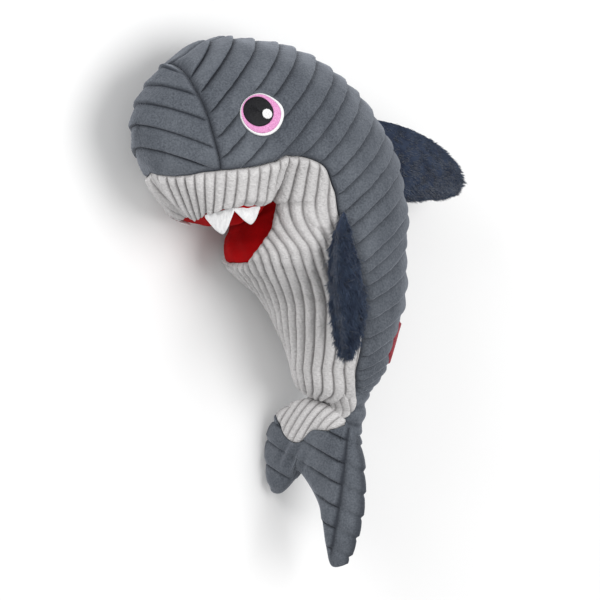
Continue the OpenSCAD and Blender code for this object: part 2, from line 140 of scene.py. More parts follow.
# Centre x and y, tilt, half depth, half width, and how square the belly side is
STATIONS = [
    [25.5, BODY_END, 0, 0.6, 0.6, 2],
    [25.3, BODY_END + 2, 0, 9, 10, 2],
    [25.5, BODY_END + 6, 0, 18.5, 19, 2],
    [26, -51.5, 0, 24, 24, 2],
    [27.5, -43.5, 0, 28, 27, 2],
    [28, -32, 0, 31.5, 31, 2],
    [27, -17, 0, 37, 35, 2.1],
    [25.5, -3, 0, 43, 39, 2.1],
    [20, 10, 0, 50, HALF_WIDTH - 4, 2.2],
    [12.5, 22, 0, 57, HALF_WIDTH - 1, 2.3],
    [11, 34, 1, 58.5, HALF_WIDTH, 2.4],
    [13, 46, 3, 57.5, HALF_WIDTH, 2.3],
    neck(12, HALF_NECK + 1),
    neck(26, HALF_NECK),
    neck(40, HALF_NECK - 1),
    neck(55, HALF_NECK - 1.5),
    neck(70, HALF_NECK - 1.5),
    neck(83, HALF_NECK - 1.5, 2.6),
    [-46, 105, 90, 56, HALF_WIDTH, 3],
    [-56, 103.5, 90, 58.5, HALF_WIDTH - 1, 3.6],
    [-66, 102.5, 90, 57.5, HALF_WIDTH - 2.5, 3.6],
    [-76, 102, 90, 54.5, HALF_WIDTH - 5, 3],
    [-86, 102, 90, 48.5, HALF_WIDTH - 8.5, 2.4],
    [-96, 102.5, 90, 40.5, HALF_WIDTH - 14, 2.1],
    [-104, 104, 90, 32, HALF_WIDTH - 20.5, 2.1],
    [-111, 105, 90, 22, HALF_WIDTH - 29, 2],
    [-116, 106, 90, 11, HALF_WIDTH - 37.5, 2],
    [-118, 106.5, 90, 0.6, 0.6, 2],
]
NOSE = len(STATIONS) - 1


def ring_point(s, a):
    """Point at station s and angle a in degrees: 0 is the back, 90 the left flank, 180 the belly."""
    s, a = np.broadcast_arrays(np.asarray(s, float), np.asarray(a, float))
    r = curve(STATIONS, np.clip(s, 0, NOSE))
    turn, tilt = np.radians(a), np.radians(r[..., 2])
    cos, sin = np.cos(turn), np.sin(turn)
    n = np.where(cos < 0, r[..., 5], 2.0)
    k = (np.abs(cos) ** n + np.abs(sin) ** n) ** (-1 / n)
    deep = np.maximum(r[..., 3], 0.3) * cos * k
    wide = np.maximum(r[..., 4], 0.3) * sin * k
    return np.stack([r[..., 0] + deep * np.cos(tilt), r[..., 1] + deep * np.sin(tilt), wide], -1)


def outward(s, a):
    """Direction away from the surface at station s and angle a."""
    s, a = np.broadcast_arrays(np.asarray(s, float), np.asarray(a, float))
    lo, hi = np.maximum(s - 0.06, 0), np.minimum(s + 0.06, NOSE)
    lengthways = ring_point(hi, a) - ring_point(lo, a)
    return unit(np.cross(lengthways, ring_point(s, a + 1) - ring_point(s, a - 1)))


def dent(x, y):
    """How far the right flank gives way to the fin and the stitching that it lies on."""
    axis = -3 + (57 - y) * 0.38
    fin = (RIGHT_FIN_THICK + 0.3) * clamp01((x - axis + 9) / 5) * clamp01((70 - y) / 5)
    eye = 2 * clamp01((EYE_R + 15 - np.hypot(x + 55.7, y - 114.3)) / 5)
    return fin + eye


def pressed(p, depth=0.0):
    """The table presses the right flank flat."""
    p = p.copy()
    p[..., 2] = np.maximum(p[..., 2], depth - REST_Z + dent(p[..., 0], p[..., 1]))
    return p


def belly_seam(s):
    """Angle of the seam between a side panel and the cord."""
    return soft_lookup([
        [0, 80], [2, 84], [4, 97], [7, 93], [9, 90], [10, 92], [11.5, 105], [12.5, 106],
        [14, 103], [16.5, 112], [18.5, 109], [20.5, 111], [21.5, 114], [22.5, 121],
        [23.5, 138], [24, 151], [24.5, 170], [24.6, 179.6]], s, 0.3 - 0.22 * smooth(s - 22.5))


def mouth_edge(s):
    """Angle of the left lip's edge."""
    return soft_lookup([
        [0, 140], [6, 150], [8, 163], [9, 170], [9.4, 161], [10, 153], [11, 148],
        [13, 148], [16.5, 150], [18, 138], [19, 132], [20, 132], [21, 139], [21.5, 154],
        [23, 165], [24.5, 176]], s, 0.2)


def right_lip(s):
    """The right lip is squashed outwards where the lower jaw lies on the table."""
    return mouth_edge(s) - 22 * smooth((s - 8.6) / 1.0) * smooth((14.5 - s) / 2.0)


def snout_seam(a):
    """Station where the side panels end and the snout panel starts."""
    return soft_lookup([[0, 22.8], [50, 22.7], [90, 22.1], [114, 21.5]], np.abs(a), 8)


def eye_distance(p):
    """Distance from the middle of an eye, seen square on to the flank."""
    middle = ring_point(EYE_S, EYE_A)
    return np.hypot(p[..., 0] - middle[0], p[..., 1] - middle[1]) + 30 * (np.abs(p[..., 2]) < 25)


def pucker(p):
    """Bump where the snout seam meets the ridge of the back."""
    return 3.2 * np.exp(-(((p - ring_point(23.2, 0)) ** 2).sum(-1) / 60))


# ---- Mesh building ----


def add_mesh(slot, name, points, faces, body, marks=None):
    """A mesh piece from points in the shark's millimetres. marks are named values per point."""
    mesh = bpy.data.meshes.new(name)
    faces = np.asarray(faces)
    size = faces.shape[1]
    mesh.vertices.add(len(points))
    mesh.vertices.foreach_set("co", row(points).astype(np.float32).ravel())
    mesh.loops.add(faces.size)
    mesh.loops.foreach_set("vertex_index", faces.astype(np.int32).ravel())
    mesh.polygons.add(len(faces))
    mesh.polygons.foreach_set("loop_start", np.arange(0, faces.size, size, dtype=np.int32))
    mesh.polygons.foreach_set("use_smooth", np.ones(len(faces), bool))
    mesh.update(calc_edges=True)
    mesh.validate()
    for mark, values in (marks or {}).items():
        attribute = mesh.attributes.new(mark, "FLOAT", "POINT")
        attribute.data.foreach_set("value", np.asarray(values, np.float32).ravel())
    piece = bpy.data.objects.new(name, mesh)
    bpy.context.scene.collection.objects.link(piece)
    mesh.materials.append(MATERIALS[slot])
    if body:
        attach(piece, body)
    return piece


def cell_faces(rows, cols, loop, keep):
    """Corner numbers of the kept cells of a grid of rows x cols cells."""
    wide = cols if loop else cols + 1
    i, j = np.meshgrid(np.arange(rows), np.arange(cols), indexing="ij")
    k = (j + 1) % wide if loop else j + 1
    quads = np.stack([i * wide + j, i * wide + k, (i + 1) * wide + k, (i + 1) * wide + j], -1)
    return quads[keep] if keep is not None else quads.reshape(-1, 4)


def shell(slot, name, outer, inner, body="body", marks=None, keep=None, loop=False):
    """Closed piece between two grids of points, walled round every open edge."""
    rows = outer.shape[0] - 1
    cols = outer.shape[1] - (0 if loop else 1)
    faces = cell_faces(rows, cols, loop, keep)
    count = outer.shape[0] * outer.shape[1]
    edges = np.concatenate([faces[:, [k, (k + 1) % 4]] for k in range(4)])
    both = np.sort(edges, axis=1)
    _, first, tally = np.unique(both[:, 0] * count + both[:, 1], return_index=True, return_counts=True)
    rim = edges[first[tally == 1]]
    wall = np.stack([rim[:, 1], rim[:, 0], rim[:, 0] + count, rim[:, 1] + count], -1)
    faces = np.concatenate([faces, faces[:, ::-1] + count, wall])
    points = np.concatenate([outer.reshape(-1, 3), inner.reshape(-1, 3)])
    used = np.zeros(len(points), bool)
    used[faces.ravel()] = True
    number = np.cumsum(used) - 1
    points, faces = points[used], number[faces]
    marks = {m: np.concatenate([v.ravel(), v.ravel()])[used] for m, v in (marks or {}).items()}
    a, b, c, d = (points[faces[:, k]] for k in range(4))
    volume = (np.cross(b - a, c - a) * a).sum() + (np.cross(c - a, d - a) * a).sum()
    if volume < 0:
        faces = faces[:, ::-1]
    return add_mesh(slot, name, points, faces, body, marks)


def tidy(piece):
    """Joins points that fell together where a row ran out, and drops the faces lost there."""
    work = bmesh.new()
    work.from_mesh(piece.data)
    bmesh.ops.remove_doubles(work, verts=work.verts, dist=0.02 * MM)
    bmesh.ops.dissolve_degenerate(work, edges=work.edges, dist=0.002 * MM)
    work.verts.index_update()
    twins = {}
    for face in work.faces:
        twins.setdefault(frozenset(v.index for v in face.verts), []).append(face)
    inside = [face for group in twins.values() if len(group) > 1 for face in group]
    bmesh.ops.delete(work, geom=inside, context="FACES")
    lone = [v for v in work.verts if not v.link_faces]
    bmesh.ops.delete(work, geom=lone, context="VERTS")
    work.to_mesh(piece.data)
    work.free()


def pinch(distance, width, depth):
    """How far fabric is pulled in near a seam, distance millimetres away from it."""
    return -depth * bell(distance, width)


# ---- Materials ----


class Nodes:
    """A material's node tree, with short calls for the nodes that fabrics need."""

    def __init__(self, name, **settings):
        self.material = bpy.data.materials.new(name)
        self.material.use_nodes = True
        self.tree = self.material.node_tree
        self.shader = self.tree.nodes["Principled BSDF"]
        for socket, value in settings.items():
            self.shader.inputs[socket.replace("_", " ")].default_value = value
        self.place = self.add("ShaderNodeTexCoord").outputs["Object"]

    def add(self, kind, **values):
        node = self.tree.nodes.new(kind)
        for key, value in values.items():
            setattr(node, key, value)
        return node

    def link(self, a, b):
        self.tree.links.new(a, b)

    def math(self, operation, a, b=None):
        node = self.add("ShaderNodeMath", operation=operation)
        for socket, value in zip(node.inputs, (a, b)):
            if value is None:
                continue
            if isinstance(value, (int, float)):
                socket.default_value = value
            else:
                self.link(value, socket)
        return node.outputs[0]

    def noise(self, per_metre, detail=3.0, stretch=(1, 1, 1), rough=0.5):
        place = self.add("ShaderNodeMapping")
        place.inputs["Scale"].default_value = stretch
        self.link(self.place, place.inputs["Vector"])
        node = self.add("ShaderNodeTexNoise")
        node.inputs["Scale"].default_value = per_metre
        node.inputs["Detail"].default_value = detail
        node.inputs["Roughness"].default_value = rough
        self.link(place.outputs[0], node.inputs["Vector"])
        return node.outputs["Fac"]

    def ramp(self, value, stops):
        node = self.add("ShaderNodeValToRGB")
        for _ in range(len(stops) - 2):
            node.color_ramp.elements.new(0.5)
        for element, (at, colour) in zip(node.color_ramp.elements, stops):
            element.position = at
            element.color = (*colour, 1)
        self.link(value, node.inputs["Fac"])
        return node.outputs["Color"]

    def mix(self, share, a, b):
        node = self.add("ShaderNodeMix", data_type="RGBA")
        for socket, value in zip((node.inputs[0], node.inputs[6], node.inputs[7]), (share, a, b)):
            if isinstance(value, tuple):
                socket.default_value = (*value, 1)
            elif isinstance(value, (int, float)):
                socket.default_value = value
            else:
                self.link(value, socket)
        return node.outputs[2]

    def mark(self, name):
        node = self.add("ShaderNodeAttribute", attribute_name=name)
        return node.outputs["Fac"]

    def colour(self, value):
        self.link(value, self.shader.inputs["Base Color"])

    def bump(self, height, millimetres, strength=1.0):
        node = self.add("ShaderNodeBump")
        node.inputs["Strength"].default_value = strength
        node.inputs["Distance"].default_value = millimetres * MM
        self.link(height, node.inputs["Height"])
        self.link(node.outputs[0], self.shader.inputs["Normal"])


def plush_material():
    n = Nodes("grey_plush", Roughness=0.85, Sheen_Weight=0.35, Sheen_Roughness=0.5,
              Specular_IOR_Level=0.2)
    n.shader.inputs["Sheen Tint"].default_value = (0.75, 0.8, 0.9, 1)
    pile = n.noise(900, 2)
    patchy = n.noise(38, 5, rough=0.65, stretch=(1, 0.5, 1))
    base = n.ramp(patchy, [(0.32, (0.04, 0.047, 0.059)), (0.68, (0.117, 0.13, 0.149))])
    fine = n.mix(0.45, base, n.ramp(pile, [(0.3, (0.027, 0.032, 0.042)), (0.7, (0.135, 0.148, 0.17))]))
    # The crease mark mixes in near-black: painted shade in the tuck creases and along the seams.
    n.colour(n.mix(n.mark("crease"), fine, (0.014, 0.017, 0.024)))
    n.bump(n.math("ADD", pile, n.math("MULTIPLY", patchy, 0.6)), 0.5, 0.7)
    return n.material


def cord_material():
    n = Nodes("light_cord", Roughness=0.9, Sheen_Weight=0.25, Sheen_Roughness=0.5, Specular_IOR_Level=0.2)
    loops = n.noise(650, 2, stretch=(1, 1.6, 1))
    patchy = n.noise(45, 4, rough=0.6)
    base = n.ramp(patchy, [(0.3, (0.45, 0.44, 0.44)), (0.7, (0.56, 0.55, 0.55))])
    fine = n.mix(0.3, base, n.ramp(loops, [(0.3, (0.33, 0.32, 0.32)), (0.68, (0.7, 0.69, 0.69))]))
    # The crease mark mixes in dark grey: painted shade in the rib valleys and along the seams.
    n.colour(n.mix(n.mark("crease"), fine, (0.2, 0.19, 0.19)))
    n.bump(loops, 1.0, 0.9)
    return n.material


def lining_material():
    n = Nodes("red_lining", Roughness=0.9, Specular_IOR_Level=0.08)
    knit = n.noise(900, 2)
    patchy = n.noise(70, 3)
    base = n.ramp(patchy, [(0.3, (0.27, 0.0008, 0.002)), (0.7, (0.38, 0.0015, 0.003))])
    # The crease mark mixes in dark red: painted shade deep in the corner of the mouth.
    n.colour(n.mix(n.mark("crease"), base, (0.07, 0.0, 0.0)))
    n.bump(knit, 0.25, 0.6)
    return n.material


def fur_material():
    n = Nodes("navy_fur", Roughness=0.75, Sheen_Weight=0.3, Sheen_Roughness=0.4, Specular_IOR_Level=0.3)
    patchy = n.noise(120, 3)
    root = n.ramp(patchy, [(0.3, (0.006, 0.012, 0.032)), (0.7, (0.016, 0.028, 0.058))])
    tip = n.ramp(patchy, [(0.3, (0.016, 0.03, 0.064)), (0.7, (0.05, 0.077, 0.13))])
    n.colour(n.mix(n.mark("tip"), root, tip))
    n.bump(n.noise(800, 2), 0.4, 0.6)
    return n.material


def stitch_material(name, dark, light, shine=0.4):
    n = Nodes(name, Roughness=0.5, Specular_IOR_Level=shine)
    thread = n.noise(1400, 2)
    colour = n.ramp(thread, [(0.35, dark), (0.65, light)])
    # The crease mark mixes in a darker thread colour: painted shade in the grooves between the threads.
    n.colour(n.mix(n.mark("crease"), colour, tuple(0.45 * c for c in dark)))
    n.bump(thread, 0.15, 0.5)
    return n.material


def plain_material(name, noise, stops, bump, **settings):
    """One colour with a grain. noise, stops and bump are the values of those nodes."""
    n = Nodes(name, **settings)
    grain = n.noise(*noise)
    n.colour(n.ramp(grain, stops))
    n.bump(grain, *bump)
    return n.material


MATERIALS = {
    "grey_plush": plush_material(),
    "light_cord": cord_material(),
    "red_lining": lining_material(),
    "navy_fur": fur_material(),
    "white_felt": plain_material(
        "white_felt", (500, 4, (1, 0.5, 1.5), 0.7),
        [(0.3, (0.56, 0.56, 0.57)), (0.7, (0.74, 0.74, 0.74))], (0.7, 0.9),
        Roughness=0.95, Sheen_Weight=0.2, Specular_IOR_Level=0.15),
    "white_stitch": stitch_material("white_stitch", (0.68, 0.68, 0.69), (0.9, 0.9, 0.9)),
    "pink_stitch": stitch_material("pink_stitch", (0.56, 0.2, 0.42), (0.8, 0.36, 0.64)),
    "black_stitch": stitch_material("black_stitch", (0.002, 0.002, 0.003), (0.012, 0.012, 0.015), 0.15),
    "red_stitch": stitch_material("red_stitch", (0.2, 0.01, 0.02), (0.4, 0.03, 0.05)),
    "stuffing": plain_material(
        "stuffing", (260, 5, (1, 1, 1), 0.7),
        [(0.3, (0.7, 0.7, 0.69)), (0.7, (0.9, 0.9, 0.89))], (1.5, 0.9),
        Roughness=1.0, Specular_IOR_Level=0.1),
    "squeaker_plastic": plain_material(
        "squeaker_plastic", (700, 2), [(0.2, (0.76, 0.75, 0.68)), (0.8, (0.84, 0.83, 0.77))],
        (0.05, 0.4), Roughness=0.4, Specular_IOR_Level=0.5),
}


# ---- Side panels, sewn in tucks like shingles ----

# Where the tucks cross the line 60 degrees round from the back, as stations
TUCKS = [
    4.7, 5.4, 6.2, 7.1, 8.05, 8.9, 9.7, 10.6, 11.4, 11.9, 12.45, 13.07, 13.72, 14.4,
    15.0, 15.6, 16.35, 17.4, 18.85, 20.9, 22.9, 24.9]
EARLY_TUCKS = [0.6, 1.5, 2.5, 3.3, 4.0]
# Slope of the tucks' planes: Y rises by a per X and by b per |Z|, by station
SLOPE_A = [[0, 0.3], [5, 0.45], [8, 0.5], [12.4, 0.8], [14.4, 1.03], [16.3, 1.06], [27, 1.12]]
SLOPE_B = [[0, -0.1], [8, -0.2], [12.4, 0.0], [14.4, 0.1], [16.3, 0.22], [18.9, 0.3], [27, 0.3]]


def tuck_number(p):
    """Which tuck a point lies in, counted from the tail, as a number with a fraction."""
    at = np.array(EARLY_TUCKS + TUCKS)
    first = 1 - len(EARLY_TUCKS)
    slope_a = np.interp(at, *np.array(SLOPE_A).T)
    slope_b = np.interp(at, *np.array(SLOPE_B).T)
    foot = ring_point(at, 60.0)
    level = foot[:, 1] - slope_a * foot[:, 0] - slope_b * foot[:, 2]
    gap = p[..., 1, None] - slope_a * p[..., 0, None] - slope_b * np.abs(p[..., 2, None]) - level
    past = np.clip((gap > 0).sum(-1), 1, len(at) - 1)
    here = np.take_along_axis(gap, (past - 1)[..., None], -1)[..., 0]
    ahead = np.take_along_axis(gap, past[..., None], -1)[..., 0]
    return first + past - 1 + here / np.where(np.abs(here - ahead) < 1e-6, 1, here - ahead)


# One tuck from its crease to the next: share of the way, height, shift to the
# head in millimetres, and how dark the painted shade in the crease is
TUCK_SHAPE = np.array([
    [0.000, -0.45, 1.1, 1.0],
    [0.002, 0.10, 0.1, 0.9],
    [0.006, 0.62, -0.7, 0.35],
    [0.020, 0.95, -0.75, 0.0],
    [0.060, 1.06, -0.3, 0.0],
    [0.150, 0.98, 0.0, 0.0],
    [0.280, 0.78, 0.0, 0.0],
    [0.430, 0.55, 0.0, 0.0],
    [0.600, 0.33, 0.0, 0.05],
    [0.760, 0.10, 0.0, 0.18],
    [0.880, -0.14, 0.0, 0.42],
    [0.955, -0.38, 0.2, 0.85],
])
TUCK_HEIGHT = 1.9


def plush_panel(name, p, lift, out, dark, near_side, near_end, seed):
    """Plush lifted off the points p of the body. The last distances are those from its seams."""
    pile = 0.07 * np.random.default_rng(seed).normal(size=lift.shape)
    pile = pile * (near_side > 1) * (near_end > 1)
    outer = pressed(p + (lift + pile)[..., None] * out, 0.05)
    inner = pressed(p - (PANEL + 0.25 - np.minimum(lift, 0))[..., None] * out, PANEL)
    # Painted shade: the tuck creases, and a dark band in the seams round the panel.
    crease = np.maximum(dark, 0.9 * bell(np.minimum(near_side, near_end), 1.3))
    piece = shell("grey_plush", name, outer, inner, marks={"crease": crease})
    tidy(piece)
    return piece


def side_panel(side):
    """Side panel whose rows follow the tucks, so that their edges are crisp."""
    cols = 92
    across = np.linspace(0, 1, cols + 1)
    across = across + 0.02 * np.sin(2 * np.pi * across)
    fine = np.linspace(0, 24.2, 1500)
    numbers = np.arange(1 - len(EARLY_TUCKS), len(TUCKS) + 1)
    rows = [(k, shape) for k in numbers for shape in TUCK_SHAPE]
    wanted = np.array([k + shape[0] for k, shape in rows])
    wanted[-1] = 999  # The last row always lies at the snout seam
    height, shift, dark = (np.array([shape[m] for _, shape in rows]) for m in (1, 2, 3))
    stations = np.zeros((len(rows), cols + 1))
    angles = np.zeros_like(stations)
    for j, share in enumerate(across):
        angle = 0.05 + (belly_seam(fine) - 0.25) * share
        count = np.maximum.accumulate(tuck_number(ring_point(fine, angle)) + 1e-7 * fine)
        s = np.interp(wanted, count, fine)
        end = np.interp(0.0, fine - snout_seam(angle), fine) - 0.01
        stations[:, j] = np.clip(s, 0.0, end)
        angles[:, j] = np.interp(stations[:, j], fine, angle)
    ends = snout_seam(angles) - 0.01
    at_end = stations >= ends - 1e-4
    p0 = ring_point(stations, angles)
    spine = curve(STATIONS, stations)[..., :3] * [1, 1, 0]
    arc = np.radians(1) * np.linalg.norm(p0 - spine, axis=-1)
    near_back, near_belly = angles * arc, (belly_seam(stations) - angles) * arc
    near_snout = (ends - stations) * 9.0
    low = smooth((stations - 0.5) / 5) * 0.45 + 0.55
    tall = TUCK_HEIGHT * low * (0.45 + 0.55 * smooth(near_back / 7))
    tall = tall * (0.15 + 0.85 * smooth(near_belly / 5)) * smooth(near_snout / 4)
    tall = tall * (1 + 0.16 * waves(p0, 26, 3))
    tall = tall * (0.02 + 0.98 * smooth((eye_distance(p0) - EYE_R - 0.3) / 4))
    lift = height[:, None] * tall
    lift = lift + pinch(near_back, 1.7, 1.0) + pinch(near_belly, 1.8, 1.3) + pinch(near_snout, 1.8, 1.2)
    lift = lift + 0.35 * waves(p0, 17, 5) * smooth(near_belly / 6) + pucker(p0)
    step = 0.05
    step_by = ring_point(stations + step, angles) - ring_point(stations - step, angles)
    per_station = np.linalg.norm(step_by, axis=-1) / (2 * step)
    ragged = 1 + 0.3 * waves(p0, 4.5, 6)
    slide = ragged * shift[:, None] * np.minimum(tall / TUCK_HEIGHT, 1) / np.maximum(per_station, 4)
    moved = np.where(at_end, stations, np.clip(stations + slide, 0, ends))
    angles = angles * side
    # Painted shade in the tuck creases and along the seam of the back.
    dark = np.maximum(dark[:, None] * smooth(tall / TUCK_HEIGHT * 1.6), 0.6 * bell(near_back, 0.9))
    side_name = SIDE_NAME[side]
    piece = plush_panel(
        f"{side_name}_side_plush", ring_point(moved, angles), lift, outward(moved, angles),
        dark, near_belly, near_snout, 7)
    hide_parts(f"{side_name}_side_panel")


for side in SIDE_NAME:
    side_panel(side)

# ---- Snout panel ----

SNOUT_TUCKS = [66, 82.5, 95.5, 110.5, 125, 138, 152]
SNOUT_START = 21.5
# Station under the nose where the two sides of the lip meet
LIP_END = 24.6


def snout_edge(s):
    """Angle of the snout panel's edge. Past the lip the two edges meet under the nose."""
    return np.where(s > LIP_END, 180.0, belly_seam(s) - 0.2)


def snout_angle(s, share):
    """Most columns keep one angle, and the outer ones spread out to the edge."""
    wide = np.abs(share)
    kept, widest = 0.62, 108
    outer = widest + (wide - kept) / 0.38 * (snout_edge(s) - widest)
    return np.sign(share) * np.where(wide < kept, wide / kept * widest, outer)


def snout_panel():
    rows, cols = 88, 300
    s0 = np.linspace(SNOUT_START, NOSE, rows + 1)
    share = np.linspace(-1, 1, cols + 1)
    s = np.broadcast_to(s0[:, None], (rows + 1, cols + 1)).copy()
    angle = snout_angle(s, share)
    fade = clamp01((24.5 - s0[:, None]) / 3)
    for _ in range(2):
        slide = fade * (snout_seam(angle) - SNOUT_START)
        s = np.minimum(s0[:, None] + slide + 0.01 * fade, NOSE)
        angle = snout_angle(s, share)
    p = ring_point(s, angle)
    v = p[..., 1] + 0.45 * (p[..., 0] + 90)
    lines = np.array(SNOUT_TUCKS, float)
    k = np.clip(np.searchsorted(lines, v.ravel()).reshape(v.shape) - 1, 0, len(lines) - 2)
    pitch = lines[k + 1] - lines[k]
    part = clamp01((v - lines[k]) / pitch)
    shape = TUCK_SHAPE[3:]
    height = np.interp(part, [0, 0.03, 0.07, *shape[2:, 0], 1], [-0.4, 0.75, 1.0, *shape[2:, 1], -0.4])
    # Painted shade at the tuck creases of the snout.
    dark = np.interp(part, [0, 0.035, 0.8, 0.92, 0.97, 1], [1, 0, 0, 0.3, 0.9, 1])
    gap = (s - snout_seam(angle)) * 9.5
    belly = (snout_edge(s) - np.abs(angle)) * np.radians(1) * 34
    near_belly = np.maximum(belly, smooth((s - 24.3) / 0.5) * 60)
    tall = 1.7 * (0.05 + 0.95 * smooth(gap / 4)) * (0.1 + 0.9 * smooth(near_belly / 6))
    tall = tall * smooth((v - 76) / 8) * (1 + 0.15 * waves(p, 24, 8))
    lift = height * tall + pinch(gap, 1.8, 1.2) + pinch(near_belly, 1.8, 1.2)
    lift = lift + 0.3 * waves(p, 15, 9) * smooth(gap / 5) + pucker(p)
    dark = dark * smooth(tall / 1.5)
    piece = plush_panel("snout_plush", p, lift, outward(s, angle), dark, gap, near_belly, 10)
    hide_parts("snout_panel")


snout_panel()

# ---- Cord panel of the belly, throat and lips ----

MOUTH_ROWS = (9, 21.5)
# Where the ribs of the two sides meet under the belly
BELLY_JOIN = 206
MOUTH_CORNER = 14
CORD_PITCH = 7.2
# X where the ribs start to turn round the front of the lip
LIP_FRONT_X = -66


def cord_number(s, a, p):
    """Which rib of the cord a point lies in, with a fraction. a is 0 to 360 degrees."""
    a = np.where(a > BELLY_JOIN, 360 - a, a)
    x, z = p[..., 0], np.abs(p[..., 2])
    front = LIP_FRONT_X - 44 * np.arctan2(np.maximum(LIP_FRONT_X - x, 0), z + 1e-6)
    head = (np.where(x > LIP_FRONT_X, x, front) + 36) / CORD_PITCH
    # Below the mouth the ribs run beside the belly seam, an even distance apart
    per_degree = np.linalg.norm(ring_point(s, 121.0) - ring_point(s, 119.0), axis=-1) / 2
    pitch = np.interp(s, [0, 9.5, 12], [7.1, 7.1, 8.3])
    at_seam = soft_lookup([[0, 3.8], [3, 4.0], [6.2, 4.4], [8, 4.8], [10, 5.05], [12, 4.64]], s, 0.8)
    trunk = at_seam - (a - belly_seam(s)) * per_degree / pitch
    return trunk + (head - trunk) * smooth((s - 11.4) / 1.1)


def cord_lift(number, tall):
    """Height of rounded ribs with narrow valleys, and the painted shade that darkens the valleys."""
    part = np.abs(2 * (number - np.floor(number)) - 1)
    height = tall * ((1 - part ** 2.3) - 0.35)
    return height, smooth((part - 0.66) / 0.32)


def cord_panel():
    strip, middle = 96, 96
    s0 = np.concatenate([np.arange(0, 12, 1 / 12), np.arange(12, 24.501, 1 / 26)])
    share = np.arange(2 * strip + middle + 1)
    s = np.broadcast_to(s0[:, None], (len(s0), len(share)))
    edge, lip, far_lip = belly_seam(s) + 0.2, mouth_edge(s), right_lip(s)
    j = share[None, :]
    t_left, t_mid, t_right = j / strip, (j - strip) / middle, (j - strip - middle) / strip
    angle = np.where(j <= strip, edge + (lip - edge) * t_left,
                     np.where(j <= strip + middle, lip + (360 - lip - far_lip) * t_mid,
                              (360 - far_lip) + (far_lip - edge) * t_right))
    p = ring_point(s, angle)
    x, y, z = np.moveaxis(p, -1, 0)
    number = cord_number(s, angle, p)
    folded = np.minimum(angle, 360 - angle)
    reach = np.hypot(z, np.where(s > 11, 30, 40))
    arc = np.radians(1) * np.clip(reach, 20, 60)
    near_seam = (folded - edge) * arc
    beside_lip = np.abs(np.where(angle < 180, lip, far_lip) - folded) * arc
    below_lip = np.hypot(np.maximum(MOUTH_ROWS[0] - s, 0) * 11, np.maximum(173 - folded, 0) * arc)
    near_lip = np.where((s > MOUTH_ROWS[0]) & (s < MOUTH_ROWS[1]), beside_lip, 60.0)
    near_lip = np.minimum(near_lip, below_lip)
    corner = np.hypot(x - MOUTH[0], y - MOUTH[1])
    tall = 2.5 * (0.12 + 0.88 * smooth(corner / 16)) * smooth((s + 0.3) / 1.6)
    tall = tall * smooth((LIP_END - s) / 0.7) * (1 + 0.12 * waves(p, 30, 11))
    height, dark = cord_lift(number, tall)
    front = smooth((s - 19) / 2.5)
    rounded = np.sqrt(1 - (1 - clamp01(near_seam / (3.2 + 4 * front))) ** 2)
    lip_round = np.sqrt(1 - (1 - clamp01(near_lip / 2.6)) ** 2)
    puff = 0.9 * (1 - front) * bell(near_seam - 3.5, 3.5) + 0.8 * bell(near_lip - 3, 3)
    lift = (height + 0.9 + puff) * rounded * lip_round - 0.9 - 0.5 * (1 - rounded)
    lift = lift + 1.6 * bell(s - 1.6, 1.2) * smooth((150 - angle) / 30) * rounded ** 2
    join = bell((angle - BELLY_JOIN) * arc, 1.3) * smooth((9.2 - s) / 0.4)
    lift = lift - (0.5 + 0.6 * height) * join
    lift = lift + 0.16 * waves(p, 2.1, 21) * rounded + 0.35 * waves(p, 19, 22)
    # Fabric gathered up beside the fin, where it is sewn in
    fin_side = smooth((s - 4.6) / 1.2) * smooth((12.0 - s) / 1.5) * (angle < 180)
    beside = near_seam - 12.5 - 0.8 * np.sin(s * 4)
    gather = bell(beside, 2.3) * fin_side
    lift = lift * (1 - 0.7 * gather) + (2.7 + 0.5 * np.sin(s * 23)) * gather
    groove = bell(beside - 4.2, 1.0) * fin_side
    lift = lift - 0.9 * groove
    # Small dart at the corner of the mouth, and creases across the throat
    dart = bell(y - 59.5, 1.6) * smooth((30 - corner) / 8)
    lift = lift - 0.9 * dart
    fold = bell(y + 1 + 0.25 * x, 1.8) * smooth((18 - x) / 18)
    fold = fold + bell(y - 14 + 0.2 * x, 1.6) * smooth((4 - x) / 14)
    lift = lift - 0.3 * fold
    out = outward(s, angle)
    outer = pressed(p + lift[..., None] * out, 0.05)
    inner = pressed(p - (PANEL + 0.7) * out, PANEL)
    # Painted shade in the rib valleys, along the belly seam, in the dart, the throat folds, the belly
    # join and the groove beside the fin; less where the fabric is gathered up.
    crease = np.maximum(dark * 0.85, 0.5 * bell(near_seam, 1.0))
    crease = np.maximum(crease, np.maximum(0.35 * dart, 0.12 * fold)) * (1 - 0.8 * gather)
    crease = np.maximum(crease, np.maximum(0.5 * join, 0.6 * groove))
    keep = np.ones((len(s0) - 1, len(share) - 1), bool)
    mouth_rows = (s0[:-1] >= MOUTH_ROWS[0] - 1e-6) & (s0[:-1] < MOUTH_ROWS[1] - 1e-6)
    mouth_cols = (share[:-1] >= strip) & (share[:-1] < strip + middle)
    keep[np.ix_(mouth_rows, mouth_cols)] = False
    piece = shell("light_cord", "belly_lip_cord", outer, inner, marks={"crease": crease}, keep=keep)
    tidy(piece)
    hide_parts("belly_lip_panel")


cord_panel()

# ---- Mouth ----


def palate_depth(s, a):
    """How much further the palate lies behind the lip on the right side."""
    return 5 * clamp01((s - 15.5) / 2) * clamp01(21 - s) * clamp01((a - mouth_edge(s)) / 14)


